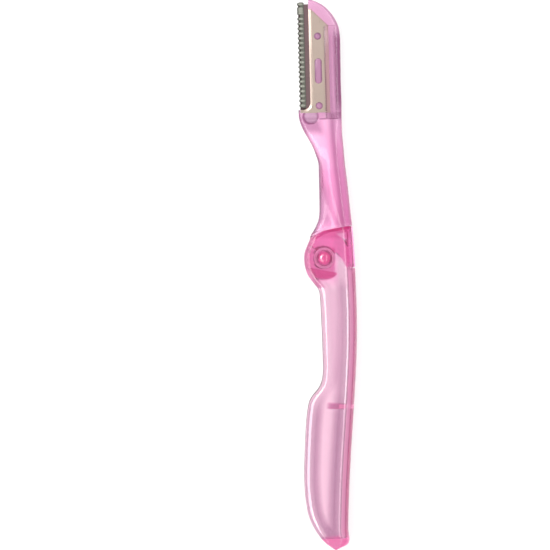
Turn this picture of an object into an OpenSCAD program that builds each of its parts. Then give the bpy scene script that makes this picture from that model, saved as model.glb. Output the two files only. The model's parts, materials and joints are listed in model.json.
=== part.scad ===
// Folding eyebrow razor, opened out and lying on its rear cheek on the plane z = 0.
// The handle points to -Y and the blade arm to +Y; the cutting edge faces -X.
// Outlines are drawn from the hinge axis, with the cheeks' mid-plane at z = 0.

/* [Handle] */
// Distance from the hinge axis to the handle's tip
handle_reach = 81.5; // [77:0.5:86]
// Unit width of the handle, which its outline follows
handle_w = 14.9; // [14:0.1:16]
// Thickness over both cheeks
handle_t = 7.6; // [7.2:0.1:8.6]
// Thickness of each cheek
cheek_wall = 1.3; // [1:0.05:1.4]
// Thickness of the spine that joins the cheeks
spine_wall = 1.5; // [1.2:0.1:2]
// Thickness of the closed end at the tip
tip_wall = 3.2; // [2.4:0.1:4]
// Edge rounding along the open side
open_edge_r = 1.1; // [0.6:0.1:1.2]
// Width over which each cheek curves down to the spine
spine_curve_w = 5.5; // [4:0.1:6]
// Distance from the hinge axis down to where the spine starts
spine_start = 2.7; // [2.6:0.1:3.2]

/* [Stop rib] */
// Distance from the hinge axis to the rib that stops the folded arm
stop_rib_y = 41.4; // [41.2:0.1:42]
// Thickness of the stop rib
stop_rib_t = 1.1; // [0.8:0.1:1.4]
// Distance of the rib's free end from the hinge axis, across the handle
stop_rib_x = 4.1; // [4:0.1:4.6]

/* [Blade arm] */
// Distance from the hinge axis to the arm's top
arm_reach = 72.4; // [70:0.2:75]
// Unit width of the arm, which its outline follows
arm_w = 11.8; // [11.2:0.1:12.2]
// Thickness of the head that holds the blade
head_t = 3.4; // [3.2:0.1:3.8]
// Thickness of the shank at its shoulder
shoulder_t = 7.2; // [6.4:0.1:7.4]
// Thickness of the shank at its middle
shank_t = 5.8; // [5:0.1:6.4]
// Gap between the arm's shoulder and the cheeks' top edge
shoulder_gap = 0.2; // [0.15:0.05:0.3]
// Gap between the arm's tongue and each cheek
tongue_gap = 0.3; // [0.2:0.05:0.4]
// Height over which the tongue runs up into the shank
tongue_lap = 0.8; // [0.6:0.1:1.2]
// Running gap between the hub and each cheek
hub_gap = 0.12; // [0.08:0.02:0.18]
// Radius of the hub round the hinge pin
hub_r = 3; // [2.8:0.1:3.2]
// Radius of the round lobe below the hub
lobe_r = 5.8; // [5.6:0.1:5.9]
// Angle by which the head leans towards the cutting side
head_lean = 1.4; // [1:0.1:1.8]

/* [Blade] */
// Width of the blade strip
blade_w = 8; // [7.8:0.1:8.2]
// Thickness of the blade strip
blade_t = 0.2; // [0.15:0.05:0.25]
// Width of the ground bevel
bevel_w = 0.9; // [0.6:0.1:1.2]
// Thickness left at the cutting edge
edge_t = 0.04; // [0.02:0.01:0.08]
// Height of the blade's mid-plane over the arm's mid-plane
blade_rise = 0.4; // [0.2:0.05:0.5]

/* [Blade clip] */
// Thickness of the clip's sheet
clip_sheet = 0.3; // [0.2:0.05:0.35]
// Width of the clip from its lip to its fold
clip_w = 5.45; // [5.2:0.05:5.6]
// Height of the clip from its foot to its top corner
clip_h = 29; // [28.4:0.1:29.4]
// Width of the lip that slopes down to the blade
lip_w = 0.7; // [0.5:0.05:0.9]
// Radius of the curve where the lip turns into the foot
lip_turn_r = 2; // [1.6:0.1:2.4]
// Height of the foot below the cutting edge
foot_h = 0.9; // [0.75:0.05:1.1]
// Radius of the round holes
peg_hole_r = 1; // [0.9:0.05:1.1]
// Distance between the round holes
peg_span = 19.5; // [19:0.1:20]
// Length of the slot over its round ends
slot_len = 7.1; // [6:0.1:8]
// Clearance of each peg in its hole
peg_gap = 0.12; // [0.08:0.02:0.2]
// Height of the pegs over the clip
peg_rise = 0.15; // [0.1:0.05:0.3]

/* [Cover] */
// Width of the clip's back edge that the cover overlaps
cover_lap = 1.3; // [1:0.1:1.6]
// Width of the cover behind the clip
cover_back = 1.85; // [1.6:0.05:2]
// Distance of the cover's face below the head's face
cover_drop = 0.2; // [0.1:0.05:0.3]

/* [Comb guard] */
// Number of comb teeth
teeth = 19; // [15:1:19]
// Distance from one tooth to the next
tooth_pitch = 1.347; // [1.3:0.001:1.36]
// Radius of each tooth
tooth_r = 0.6; // [0.54:0.02:0.62]
// Length of the teeth behind the cutting edge
tooth_len = 1.6; // [1.4:0.05:1.8]
// Distance of the teeth's tips before the cutting edge
tooth_lead = 0.3; // [0.2:0.05:0.4]
// Thickness of the band that joins the teeth
band_t = 0.9; // [0.8:0.05:1]
// Distance of the band behind the cutting edge
band_set = 0.55; // [0.4:0.05:0.7]

/* [Hinge pin] */
// Radius of the pin's shaft
pin_r = 1.1; // [0.9:0.05:1.2]
// Running clearance of the pin in the arm
pin_gap = 0.05; // [0.03:0.01:0.08]
// Radius of the domed head
pin_head_r = 1.65; // [1.5:0.05:1.8]
// Radius of the recess round the domed head
head_recess_r = 2.35; // [2:0.05:2.6]
// Radius of the rear cap
cap_r = 1.95; // [1.7:0.05:2.1]
// Radius of the recess round the rear cap
cap_recess_r = 2.75; // [2.4:0.05:3]
// Depth of both recesses
recess_d = 0.55; // [0.45:0.05:0.65]
// Radius of the pin's stub in the cap
stub_r = 0.7; // [0.6:0.05:0.8]

/* [Hidden] */
$fn = 48;

// Fits and overruns
fit = 0.02;             // gap between pieces that are pressed or welded together
cut = 1;                // how far a cut runs past the surface that it opens
half_t = handle_t / 2;
channel_half = half_t - cheek_wall;
tongue_half = channel_half - tongue_gap;
hub_half = channel_half - hub_gap;
head_half = head_t / 2;

// Colours of the finishes
pale_pink = [0.96, 0.62, 0.80, 0.55];
deep_pink = [0.93, 0.30, 0.60, 0.75];
steel = [0.72, 0.68, 0.64];
edge_steel = [0.50, 0.46, 0.44];
comb_grey = [0.50, 0.51, 0.46];

// Handle outline: each point is [share of handle_w, share of handle_reach] from the hinge axis
open_side_shares = [
    [0.201, -1], [0.110, -0.989], [-0.023, -0.968], [-0.163, -0.934], [-0.289, -0.886],
    [-0.349, -0.831], [-0.375, -0.755], [-0.370, -0.693], [-0.345, -0.583], [-0.317, -0.528],
    [-0.287, -0.497], [-0.221, -0.473], [-0.101, -0.446], [-0.040, -0.418], [-0.021, -0.384],
    [-0.026, -0.336], [-0.049, -0.226], [-0.080, -0.130], [-0.105, -0.1075], [-0.186, -0.0886],
    [-0.300, -0.061], [-0.354, -0.034], [-0.377, -0.006], [-0.366, 0.021], [-0.307, 0.049],
    [-0.250, 0.073], [-0.190, 0.1], [-0.130, 0.125]];
spine_side_shares = [
    [0.242, -1], [0.4555, -0.980], [0.4585, -0.930], [0.4615, -0.886], [0.480, -0.776],
    [0.510, -0.666], [0.548, -0.556], [0.585, -0.446], [0.6135, -0.336], [0.623, -0.2535],
    [0.617, -0.171], [0.585, -0.034], [0.568, 0.021], [0.546, 0.076], [0.522, 0.125]];
spine_reach_share = 0.623;      // the widest point of the spine side
// Thickness of the handle along its length, as shares of handle_reach and of half_t
handle_bulk_shares = [[-1, 0.72], [-0.985, 0.88], [-0.965, 0.97], [-0.94, 1], [-0.9, 1], [0.2, 1]];
// Top edge of the cheeks, as shares of handle_w and of handle_reach
seam_shares = [
    [-0.45, 0.073], [-0.257, 0.073], [-0.193, 0.0715], [-0.1105, 0.080], [0.007, 0.0937],
    [0.141, 0.100], [0.307, 0.1058], [0.4595, 0.110], [0.522, 0.1096], [0.75, 0.1096]];

// Arm outline: each point is [share of arm_w, share of arm_reach] from the hinge axis
arm_left_shares = [
    [-0.331, 0.07], [-0.330, 0.085], [-0.219, 0.117], [-0.140, 0.148], [-0.116, 0.179],
    [-0.116, 0.210], [-0.124, 0.272], [-0.133, 0.333], [-0.140, 0.365], [-0.192, 0.395],
    [-0.266, 0.427], [-0.363, 0.457], [-0.477, 0.488], [-0.563, 0.519], [-0.603, 0.543],
    [-0.608, 0.563], [-0.608, 0.70], [-0.608, 0.85], [-0.600, 0.93], [-0.560, 0.975],
    [-0.500, 0.990], [-0.430, 0.996], [-0.375, 1]];
arm_right_shares = [
    [0.693, 0.07], [0.674, 0.117], [0.629, 0.179], [0.588, 0.240], [0.546, 0.302],
    [0.496, 0.365], [0.460, 0.427], [0.425, 0.488], [0.415, 0.550], [0.413, 0.612],
    [0.398, 0.674], [0.394, 0.736], [0.386, 0.797], [0.385, 0.829], [0.377, 0.859],
    [0.347, 0.891], [0.314, 0.906], [0.270, 0.921], [0.214, 0.936], [0.137, 0.952],
    [0.045, 0.968], [-0.081, 0.983], [-0.171, 0.990], [-0.280, 0.997], [-0.345, 1]];
// Arm section along its length: [share of arm_reach, bulk from head (0) to shoulder (1),
// start and end of the thick part across the width, roundness left and right]
arm_section_shares = [
    [0.07, 1.00, 0.42, 0.78, 3.4, 4.0], [0.12, 1.00, 0.40, 0.76, 3.2, 3.6],
    [0.18, 0.80, 0.22, 0.66, 2.6, 3.0], [0.25, 0.58, 0.12, 0.56, 2.4, 2.7],
    [0.33, 0.44, 0.04, 0.48, 2.4, 2.5], [0.42, 0.30, 0.20, 0.62, 2.6, 2.6],
    [0.49, 0.12, 0.40, 0.70, 3.4, 3.2], [0.56, 0.00, 0.40, 0.80, 6.0, 4.2],
    [1.0, 0.00, 0.40, 0.80, 6.0, 4.2]];
shank_bulk_share = 0.44;        // bulk of the section that has the shank's own thickness

// Tongue between the cheeks, as shares of lobe_r: web, its pocket, and the sides of the lobe
web_shares = [[-0.672, 1.07], [-0.741, 0.724], [0, 0], [0.586, 0.276], [0.845, -0.034],
    [0.948, -0.276], [1.035, -0.43]];
pocket_shares = [[0.552, 1.17], [1.035, 1.26], [1.069, 0.552], [0.931, 0.828], [0.759, 1.034]];
lobe_left_share = -0.86;
lobe_right_share = 0.61;
lobe_top_share = -0.43;

// Steps of the swept solids
corner_steps = 4;       // flats on each rounded edge of the open side
crown_steps = 14;       // flats on each curved spine side
station_steps = 2;      // sections between two outline points
arm_ring = 32;          // points round the arm
crown_power = 2.8;      // roundness of the curve that brings the cheeks to the spine

// Head frame: its origin is the middle of the clip's slot, on the blade's mid-plane
head_o = [-0.14 * arm_w, 0.7236 * arm_reach, blade_rise];
lip_x = -0.44 * clip_w;
fold_x = lip_x + clip_w;
edge_x = fold_x - blade_w - fit - clip_sheet;
foot_y = -0.403 * clip_h;
foot_top = foot_y + foot_h;
clip_top = foot_y + clip_h;
clip_corner = clip_top - (clip_w - lip_w);
clip_out = blade_t / 2 + fit + clip_sheet;
lip_low = blade_t / 2 + 2 * fit;
seat_z = -clip_out - fit;
head_face = head_half - blade_rise;
cover_x = fold_x - cover_lap;
wall_x = fold_x + cover_back;
cover_low = foot_y - 6 * clip_sheet;
relief_r = peg_hole_r + lip_w + clip_sheet;

// Comb guard, in the head frame
comb_back = edge_x + tooth_len;
comb_low = foot_top + clip_sheet * 2;
first_tooth = comb_low + tooth_r;
last_tooth = first_tooth + (teeth - 1) * tooth_pitch;
end_tooth = last_tooth + tooth_pitch + tooth_r / 3;
end_stretch = tooth_pitch;
cap_tooth = end_tooth + end_stretch + 2 * tooth_r;
blade_top = cap_tooth - fit;

// Place of the hinge axis, so that the opened razor is centred on the origin
guard_left = head_o[0] + (edge_x - tooth_lead) * cos(head_lean) - cap_tooth * sin(head_lean);
hinge = [-(spine_reach_share * handle_w + guard_left) / 2, (handle_reach - arm_reach) / 2, half_t];

// Curves

// Points scaled from shares
function scaled(shares, w, h) = [for (p = shares) [p[0] * w, p[1] * h]];

// Index of the stretch of a table that holds y; rows are [y, value]
function stretch(rows, y, i = 0) =
    i >= len(rows) - 2 || y <= rows[i + 1][0] ? i : stretch(rows, y, i + 1);

// Slope of a table at row i
function slope(rows, i) =
    let (a = max(i - 1, 0), b = min(i + 1, len(rows) - 1))
    (rows[b][1] - rows[a][1]) / (rows[b][0] - rows[a][0]);

// Smooth value of a table at y
function smooth_at(rows, y) =
    let (i = stretch(rows, y), h = rows[i + 1][0] - rows[i][0],
        t = min(max((y - rows[i][0]) / h, 0), 1), t2 = t * t, t3 = t2 * t)
    (2 * t3 - 3 * t2 + 1) * rows[i][1] + (t3 - 2 * t2 + t) * h * slope(rows, i)
        + (3 * t2 - 2 * t3) * rows[i + 1][1] + (t3 - t2) * h * slope(rows, i + 1);

// Table [y, x] of an outline
function side_rows(points) = [for (p = points) [p[1], p[0]]];

// Values between neighbouring outline points, ends included
function stations(rows, steps) = [
    for (i = [0 : len(rows) - 2]) for (k = [0 : steps - 1])
        rows[i][0] + (rows[i + 1][0] - rows[i][0]) * k / steps,
    rows[len(rows) - 1][0]];

// Smooth rise from 0 to 1 between a and b
function rise(a, b, s) = let (t = min(max((s - a) / (b - a), 0), 1)) t * t * (3 - 2 * t);

// Signed power, for rounded sections
function bend(v, power) = sign(v) * pow(abs(v), 2 / power);

handle_open = side_rows(scaled(open_side_shares, handle_w, handle_reach));
handle_spine = side_rows(scaled(spine_side_shares, handle_w, handle_reach));
handle_bulk = [for (p = handle_bulk_shares) [p[0] * handle_reach, p[1] * half_t]];
arm_left = side_rows(scaled(arm_left_shares, arm_w, arm_reach));
arm_right = side_rows(scaled(arm_right_shares, arm_w, arm_reach));
seam = scaled(seam_shares, handle_w, handle_reach);
rib_back = smooth_at(handle_spine, -stop_rib_y) - spine_wall / 2;

// Column c of the arm's section table at y
function arm_law(c, y) =
    smooth_at([for (p = arm_section_shares) [p[0] * arm_reach, p[c]]], y);

// Half thickness of the arm's thick part at y, from the head's to the shoulder's
function arm_half(y) =
    let (b = arm_law(1, y), s = shank_bulk_share)
    b < s ? head_half + (shank_t / 2 - head_half) * b / s
        : shank_t / 2 + (shoulder_t - shank_t) / 2 * (b - s) / (1 - s);

// Swept solids

// Closed solid through a list of rings with equally many points
module sweep(rings) {
    n = len(rings[0]);
    m = len(rings);
    sides = [for (i = [0 : m - 2]) for (j = [0 : n - 1]) let (
        a = i * n + j, b = i * n + (j + 1) % n) each [[a, b, a + n], [b, b + n, a + n]]];
    first = [for (j = [1 : n - 2]) [0, j + 1, j]];
    last = [for (j = [1 : n - 2]) [(m - 1) * n, (m - 1) * n + j, (m - 1) * n + j + 1]];
    polyhedron(points = [for (r = rings) each r], faces = concat(sides, first, last));
}

// Quarter of a rounded corner, seen along the sweep
function corner(x, z, r, from) =
    [for (k = [0 : corner_steps]) let (a = from + 90 * k / corner_steps)
        [x + r * cos(a), z + r * sin(a)]];

// Curved spine side, from the rear cheek round to the front cheek
function crown(x1, w, h) =
    [for (k = [0 : crown_steps]) let (a = 180 * k / crown_steps - 90)
        [x1 - w + w * bend(cos(a), crown_power), h * bend(sin(a), crown_power)]];

// Outer section of the handle at y
function handle_ring(y) =
    let (x0 = smooth_at(handle_open, y), x1 = smooth_at(handle_spine, y),
        h = min(smooth_at(handle_bulk, y), half_t), w = x1 - x0,
        a = min(open_edge_r, w * 0.35, h * 0.9), b = min(spine_curve_w, w * 0.6),
        flat = concat(crown(x1, b, h), corner(x0 + a, h - a, a, 90), corner(x0 + a, a - h, a, 180)))
    [for (p = flat) [p[0], y, p[1]]];

// Section of the channel at y, closed towards the spine and open past the other side
function channel_ring(y) =
    let (x1 = smooth_at(handle_spine, y) - spine_wall, r = spine_wall / 2,
        flat = concat(corner(x1 - r, channel_half - r, r, 0),
            [[-handle_w, channel_half], [-handle_w, -channel_half]],
            corner(x1 - r, r - channel_half, r, 270)))
    [for (p = flat) [p[0], y, p[1]]];

// Section of the arm at y: rounded, thin at the side that enters the handle
function arm_ring_at(y) =
    let (x0 = smooth_at(arm_left, y), x1 = smooth_at(arm_right, y), thick = arm_half(y),
        thin = min(thick, head_half + (tongue_half - head_half) * min(arm_law(1, y) / shank_bulk_share, 1)),
        from = arm_law(2, y), to = arm_law(3, y))
    [for (k = [0 : arm_ring - 1]) let (a = 360 * (k + 0.5) / arm_ring,
        power = arm_law(cos(a) < 0 ? 4 : 5, y), u = bend(cos(a), power),
        t = thin + (thick - thin) * rise(from, to, (u + 1) / 2))
        [(x0 + x1) / 2 + u * (x1 - x0) / 2, y, t * bend(sin(a), power)]];

// Places

module at_hinge() {
    translate(hinge) children();
}

module in_head() {
    at_hinge() translate(head_o) rotate(head_lean) children();
}

// Flat piece of an outline between two heights
module slab(z0, z1) {
    translate([0, 0, z0]) linear_extrude(z1 - z0) children();
}

// Disc between two heights
module disc(r, z0, z1) {
    translate([0, 0, z0]) cylinder(r = r, h = z1 - z0);
}

// Box from one corner to the other
module block(a, b) {
    translate(a) cube(b - a);
}

// Bar along Y from y0 to y1 with an outline drawn in x and z
module bar(y0, y1) {
    translate([0, y1, 0]) rotate([90, 0, 0]) linear_extrude(y1 - y0) children();
}

// Handle

// Everything above the cheeks' top edge
module above_seam(lift) {
    polygon(concat([for (p = seam) [p[0], p[1] + lift]],
        [[handle_w, handle_reach], [-handle_w, handle_reach]]));
}

// Channel between the cheeks, open along the whole cutting side
module channel() {
    low = tip_wall - handle_reach;
    ys = [for (y = stations(handle_spine, station_steps)) if (y > low && y < -spine_start) y];
    sweep([for (y = concat([low], ys, [-spine_start])) channel_ring(y)]);
    block([-handle_w, -spine_start - fit, -channel_half], [handle_w, handle_reach, channel_half]);
}

module stop_rib() {
    block([stop_rib_x, -stop_rib_y - stop_rib_t / 2, -channel_half - fit],
        [rib_back, -stop_rib_y + stop_rib_t / 2, channel_half + fit]);
}

module handle_shell() {
    color(pale_pink) at_hinge() difference() {
        union() {
            difference() {
                sweep([for (y = stations(handle_open, station_steps)) handle_ring(y)]);
                channel();
            }
            stop_rib();
        }
        slab(-handle_t, handle_t) above_seam(0);
        disc(pin_r + fit, -handle_t, handle_t);
        disc(head_recess_r, half_t - recess_d, handle_t);
        disc(cap_recess_r, -handle_t, recess_d - half_t);
    }
}

// Blade arm

// Web that joins the hub to the shoulder, with the tail that meets the handle's spine
module web_outline() {
    tail_y = shoulder_gap - spine_start;
    top_y = 2 * lobe_r;
    difference() {
        polygon(concat(scaled(web_shares, lobe_r, lobe_r), [
            [smooth_at(handle_spine, -spine_start) - 2 * fit, tail_y],
            [smooth_at(handle_spine, 0) - 2 * fit, 0],
            [smooth_at(handle_spine, lobe_r) - 2 * fit, lobe_r],
            [smooth_at(arm_right, top_y) - shoulder_gap, top_y],
            [smooth_at(arm_left, top_y) + shoulder_gap, top_y]]));
        polygon(scaled(pocket_shares, lobe_r, lobe_r));
        above_seam(shoulder_gap + tongue_lap);
    }
}

// Round lobe below the hub, cut off at its sides
module lobe_outline() {
    intersection() {
        circle(r = lobe_r);
        translate([lobe_left_share * lobe_r, -lobe_r])
            square([(lobe_right_share - lobe_left_share) * lobe_r, (1 + lobe_top_share) * lobe_r]);
    }
}

module tongue() {
    slab(-tongue_half, tongue_half) {
        web_outline();
        lobe_outline();
    }
    disc(hub_r, -hub_half, hub_half);
}

// Curve where the clip's lip turns into its foot; room widens the clip
module lip_turn(room) {
    translate([lip_x - lip_turn_r, foot_top + lip_turn_r]) circle(r = lip_turn_r - room);
}

// Outline of the clip, with room round it
module clip_outline(room) {
    difference() {
        polygon([[edge_x - room, foot_y - room], [fold_x + room, foot_y - room],
            [fold_x + room, clip_corner + room / 2], [lip_x + lip_w + room / 2, clip_top + room],
            [lip_x - room, clip_top + room], [lip_x - room, foot_top + lip_turn_r],
            [lip_x - lip_turn_r, foot_top + room], [edge_x - room, foot_top + room]]);
        lip_turn(room);
    }
}

// Outline of the cover over the clip's back edge, with room round it
module cover_outline(room) {
    polygon([[cover_x - room, cover_low - room], [cover_x - room, clip_corner - cover_lap / 3],
        [cover_x + cover_lap / 3, clip_corner + room], [wall_x + room, clip_corner + room],
        [wall_x + room, cover_low - room]]);
}

module head_cuts() {
    // nothing of the head lies in front of the clip's lip
    block([-2 * arm_w, foot_top + fit, -head_t], [lip_x - fit, arm_reach, head_t]);
    // seat of the clip, open to the front
    slab(seat_z, head_t) clip_outline(fit);
    // pocket of the cover
    slab(clip_out + fit, head_t) cover_outline(fit);
    // round relief below the clip's foot
    translate([lip_x, foot_y - relief_r / 2, 0]) disc(relief_r, seat_z, head_t);
}

// Slot of radius r along the blade
module slot(r, length) {
    for (y = [r - length / 2, length / 2 - r]) translate([0, y]) circle(r = r);
    translate([-r, r - length / 2]) square([2 * r, length - 2 * r]);
}

// Pegs that locate the clip and the blade
module pegs() {
    low = -head_half;
    top = clip_out + peg_rise;
    r = peg_hole_r - peg_gap;
    for (y = [-peg_span / 2, peg_span / 2]) translate([0, y, 0]) disc(r, low, top);
    slab(low, top) slot(r, slot_len - 2 * peg_gap);
}

module arm_body() {
    color(deep_pink) difference() {
        union() {
            difference() {
                at_hinge() difference() {
                    sweep([for (y = stations(arm_left, station_steps)) arm_ring_at(y)]);
                    slab(-handle_t, handle_t) difference() {
                        translate([-handle_w, -handle_w]) square([2 * handle_w, 2 * handle_w]);
                        above_seam(shoulder_gap);
                    }
                }
                in_head() head_cuts();
            }
            at_hinge() tongue();
            in_head() pegs();
        }
        at_hinge() disc(pin_r + pin_gap, -handle_t, handle_t);
    }
}

module head_cover() {
    color(pale_pink) in_head() slab(clip_out + 2 * fit, head_face - cover_drop) cover_outline(0);
}

// Clip, blade and comb

// Holes for the pegs through a flat piece
module peg_holes() {
    for (y = [-peg_span / 2, peg_span / 2]) translate([0, y, 0]) disc(peg_hole_r, -cut, cut);
    slab(-cut, cut) slot(peg_hole_r, slot_len);
}

// Section of the lip, from its low edge at x = 0 up to the clip's face at x = lip_w
module lip_section() {
    polygon([[0, -lip_low], [lip_w + fit, -clip_out], [lip_w + fit, clip_out], [0, lip_low]]);
}

module blade_clip() {
    turn = [lip_x - lip_turn_r, foot_top + lip_turn_r, 0];
    color(steel) in_head() difference() {
        union() {
            // flat sheets behind the lip
            slab(-clip_out, clip_out) difference() {
                clip_outline(0);
                translate(turn) circle(r = lip_turn_r + lip_w);
                translate([edge_x - cut, turn[1]]) square([lip_x + lip_w - edge_x + cut, clip_h]);
                translate([edge_x - cut, foot_top - lip_w])
                    square([turn[0] - edge_x + cut, clip_h]);
            }
            // lip up the cutting side, round its turn and along the foot
            translate([lip_x, 0, 0]) bar(turn[1], clip_top) lip_section();
            translate(turn) rotate(-90) rotate_extrude(angle = 90)
                translate([lip_turn_r, 0]) lip_section();
            translate([0, foot_top, 0]) rotate(-90) bar(edge_x, turn[0]) lip_section();
        }
        slab(-blade_t / 2 - fit, blade_t / 2 + fit) translate([-arm_w, foot_y - cut])
            square([arm_w + fold_x - clip_sheet, clip_h + 2 * cut]);
        peg_holes();
    }
}

module blade() {
    back = fold_x - clip_sheet - fit;
    color(edge_steel) in_head() difference() {
        union() {
            bar(foot_top, blade_top) polygon([[edge_x, -edge_t / 2], [edge_x + bevel_w, -blade_t / 2],
                [edge_x + bevel_w, blade_t / 2], [edge_x, edge_t / 2]]);
            slab(-blade_t / 2, blade_t / 2) polygon([
                [edge_x + bevel_w, foot_top], [edge_x + bevel_w, blade_top],
                [lip_x - 3 * fit, blade_top], [lip_x - 3 * fit, clip_top],
                [lip_x + lip_w, clip_top - lip_w], [back, clip_corner - lip_w],
                [back, foot_y + lip_w / 2], [edge_x + bevel_w, foot_y + lip_w / 2]]);
        }
        peg_holes();
    }
}

// One comb tooth at y: a round bar with a ball end before the cutting edge
module tooth(y) {
    length = tooth_len + tooth_lead - tooth_r;
    translate([comb_back, y, 0]) rotate([0, -90, 0]) {
        cylinder(r = tooth_r, h = length, $fn = 24);
        translate([0, 0, length]) sphere(r = tooth_r, $fn = 24);
    }
}

module comb_guard() {
    color(comb_grey) in_head() difference() {
        union() {
            block([edge_x + band_set, comb_low, -band_t / 2],
                [comb_back - fit, cap_tooth, band_t / 2]);
            for (k = [0 : teeth - 1]) tooth(first_tooth + k * tooth_pitch);
            hull() for (y = [end_tooth, end_tooth + end_stretch]) tooth(y);
            tooth(cap_tooth);
        }
        block([edge_x - fit, foot_y, -blade_t / 2 - fit], [fold_x, blade_top + fit, blade_t / 2 + fit]);
    }
}

// Hinge

module hinge_pin() {
    seat = half_t - recess_d + fit;
    dome = recess_d - 3 * fit;
    ball = (pin_head_r * pin_head_r + dome * dome) / (2 * dome);
    color(deep_pink) at_hinge() union() {
        disc(pin_r, -seat, seat + dome / 2);
        disc(stub_r, -half_t + 2 * fit, 0);
        intersection() {
            translate([0, 0, seat + dome - ball]) sphere(r = ball);
            disc(2 * pin_head_r, seat, half_t);
        }
    }
}

module pin_cap() {
    color(deep_pink) at_hinge() difference() {
        disc(cap_r, -half_t + 2 * fit, recess_d - half_t - fit);
        disc(stub_r + fit, -handle_t, 0);
    }
}

handle_shell();
arm_body();
head_cover();
blade_clip();
blade();
comb_guard();
hinge_pin();
pin_cap();
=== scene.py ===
# %% [markdown]
# # A folding eyebrow razor in clear pink plastic
# The razor lies opened out on its rear cheek. A clear handle of two cheeks and a spine carries
# a clear arm on a hinge pin, and the arm's head holds a steel clip, a blade and a comb guard.
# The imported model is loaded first, because every piece here sits where that model says.

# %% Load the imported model
import json
import math

import bmesh
import bpy
from mathutils import Matrix, Vector


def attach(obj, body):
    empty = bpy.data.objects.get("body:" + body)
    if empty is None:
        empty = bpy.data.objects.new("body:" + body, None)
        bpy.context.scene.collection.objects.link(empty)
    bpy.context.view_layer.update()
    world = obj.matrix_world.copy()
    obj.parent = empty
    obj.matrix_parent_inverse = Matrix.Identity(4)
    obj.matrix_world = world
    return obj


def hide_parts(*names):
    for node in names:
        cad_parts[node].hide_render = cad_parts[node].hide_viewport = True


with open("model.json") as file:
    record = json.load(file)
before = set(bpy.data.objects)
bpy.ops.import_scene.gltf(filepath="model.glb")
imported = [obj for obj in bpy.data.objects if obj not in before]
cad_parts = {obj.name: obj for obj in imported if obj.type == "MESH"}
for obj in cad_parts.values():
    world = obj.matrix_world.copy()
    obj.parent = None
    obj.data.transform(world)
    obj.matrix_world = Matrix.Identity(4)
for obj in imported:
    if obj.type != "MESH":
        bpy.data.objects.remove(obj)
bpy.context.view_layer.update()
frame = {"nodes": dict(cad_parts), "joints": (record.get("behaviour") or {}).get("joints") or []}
bpy.ops.object.select_all(action="DESELECT")

# %% [markdown]
# ## Units
# Everything is in metres. One name for a millimetre keeps the sizes readable, and the hinge
# axis is the place that most pieces are drawn from.

# %% Units and the hinge axis
mm = 0.001
hinge = Vector(frame["joints"][0]["pos_m"])
print("hinge axis in mm", [round(v / mm, 3) for v in hinge])

# %% [markdown]
# ## Camera
# The photograph looks straight down on the razor from far away. A camera without perspective
# could stand for that, but a long lens is nearer to a real one. The width that the picture
# covers at the razor's middle sets the distance, and the place of the hinge pin in the picture
# sets where the camera stands.

# %% Camera
picture_side = 550
pivot_pixel = Vector((324.2, 258.2))
pixel = 0.28 * mm
lens = 200
sensor = 36
camera_height = picture_side * pixel * lens / sensor
centre_x = hinge.x - (pivot_pixel.x - picture_side / 2) * pixel
centre_y = hinge.y + (pivot_pixel.y - picture_side / 2) * pixel
bpy.ops.object.camera_add(location=(centre_x, centre_y, hinge.z + camera_height), rotation=(0, 0, 0))
camera = bpy.context.object
camera.data.lens = lens
camera.data.sensor_width = sensor
camera.data.clip_start = camera_height / 100
camera.data.clip_end = camera_height * 10
bpy.context.scene.camera = camera
print("camera stands", round(camera_height / mm), "mm above the razor")

# %% [markdown]
# ## A small language for materials
# A material is a graph of nodes. Written out by hand, each sum costs three lines, so one class
# wraps a socket and turns Python's own arithmetic into Math nodes, and one method adds any
# other node from its type, its settings and its sockets. The few nodes that every finish here
# needs, such as a smooth step or a ramp, get a short method on top of that one.


# %% Nodes written as expressions
def grey(level):
    """A colour with one level in all three channels."""
    return (level, level, level, 1)


white = grey(1)


class Signal:
    """A socket's value; each operator on it adds one Math node."""

    def __init__(self, finish, socket):
        self.finish = finish
        self.socket = socket

    def math(self, operation, first, second):
        return self.finish.add("Math", {"operation": operation}, {0: first, 1: second})

    def __add__(self, other):
        return self.math("ADD", self, other)

    def __radd__(self, other):
        return self.math("ADD", other, self)

    def __sub__(self, other):
        return self.math("SUBTRACT", self, other)

    def __rsub__(self, other):
        return self.math("SUBTRACT", other, self)

    def __mul__(self, other):
        return self.math("MULTIPLY", self, other)

    def __rmul__(self, other):
        return self.math("MULTIPLY", other, self)

    def off(self, place):
        """How far the value is from a place, on either side."""
        return self.finish.add("Math", {"operation": "ABSOLUTE"}, {0: self - place})

    def part(self, axis):
        """One coordinate of a point."""
        return self.finish.add("SeparateXYZ", {}, {0: self}, out=axis)

    def times(self, factors):
        """A point with each coordinate multiplied by its own factor."""
        return self.finish.add("VectorMath", {"operation": "MULTIPLY"}, {0: self, 1: factors})

    def apart(self, centre):
        """Distance of a point from a centre."""
        return self.finish.add("VectorMath", {"operation": "DISTANCE"}, {0: self, 1: centre}, out="Value")

    def step(self, start, full):
        """A smooth rise from 0 at start to 1 at full."""
        sockets = {0: self, 1: start, 2: full, 3: 0.0, 4: 1.0}
        return self.finish.add("MapRange", {"interpolation_type": "SMOOTHSTEP"}, sockets)

    def ramp(self, high, rows, low=0):
        """A level read from rows of (place, level) between low and high."""
        stops = [((place - low) / (high - low), grey(level)) for place, level in rows]
        share = self.finish.add("MapRange", {}, {0: self, 1: low, 2: high, 3: 0.0, 4: 1.0})
        return self.finish.add("ValToRGB", {"stops": stops}, {0: share})

    def mix(self, first, second):
        """The first value where this share is 0 and the second where it is 1."""
        return self.finish.add("Mix", {"data_type": "FLOAT"}, {0: self, 2: first, 3: second})


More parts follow.
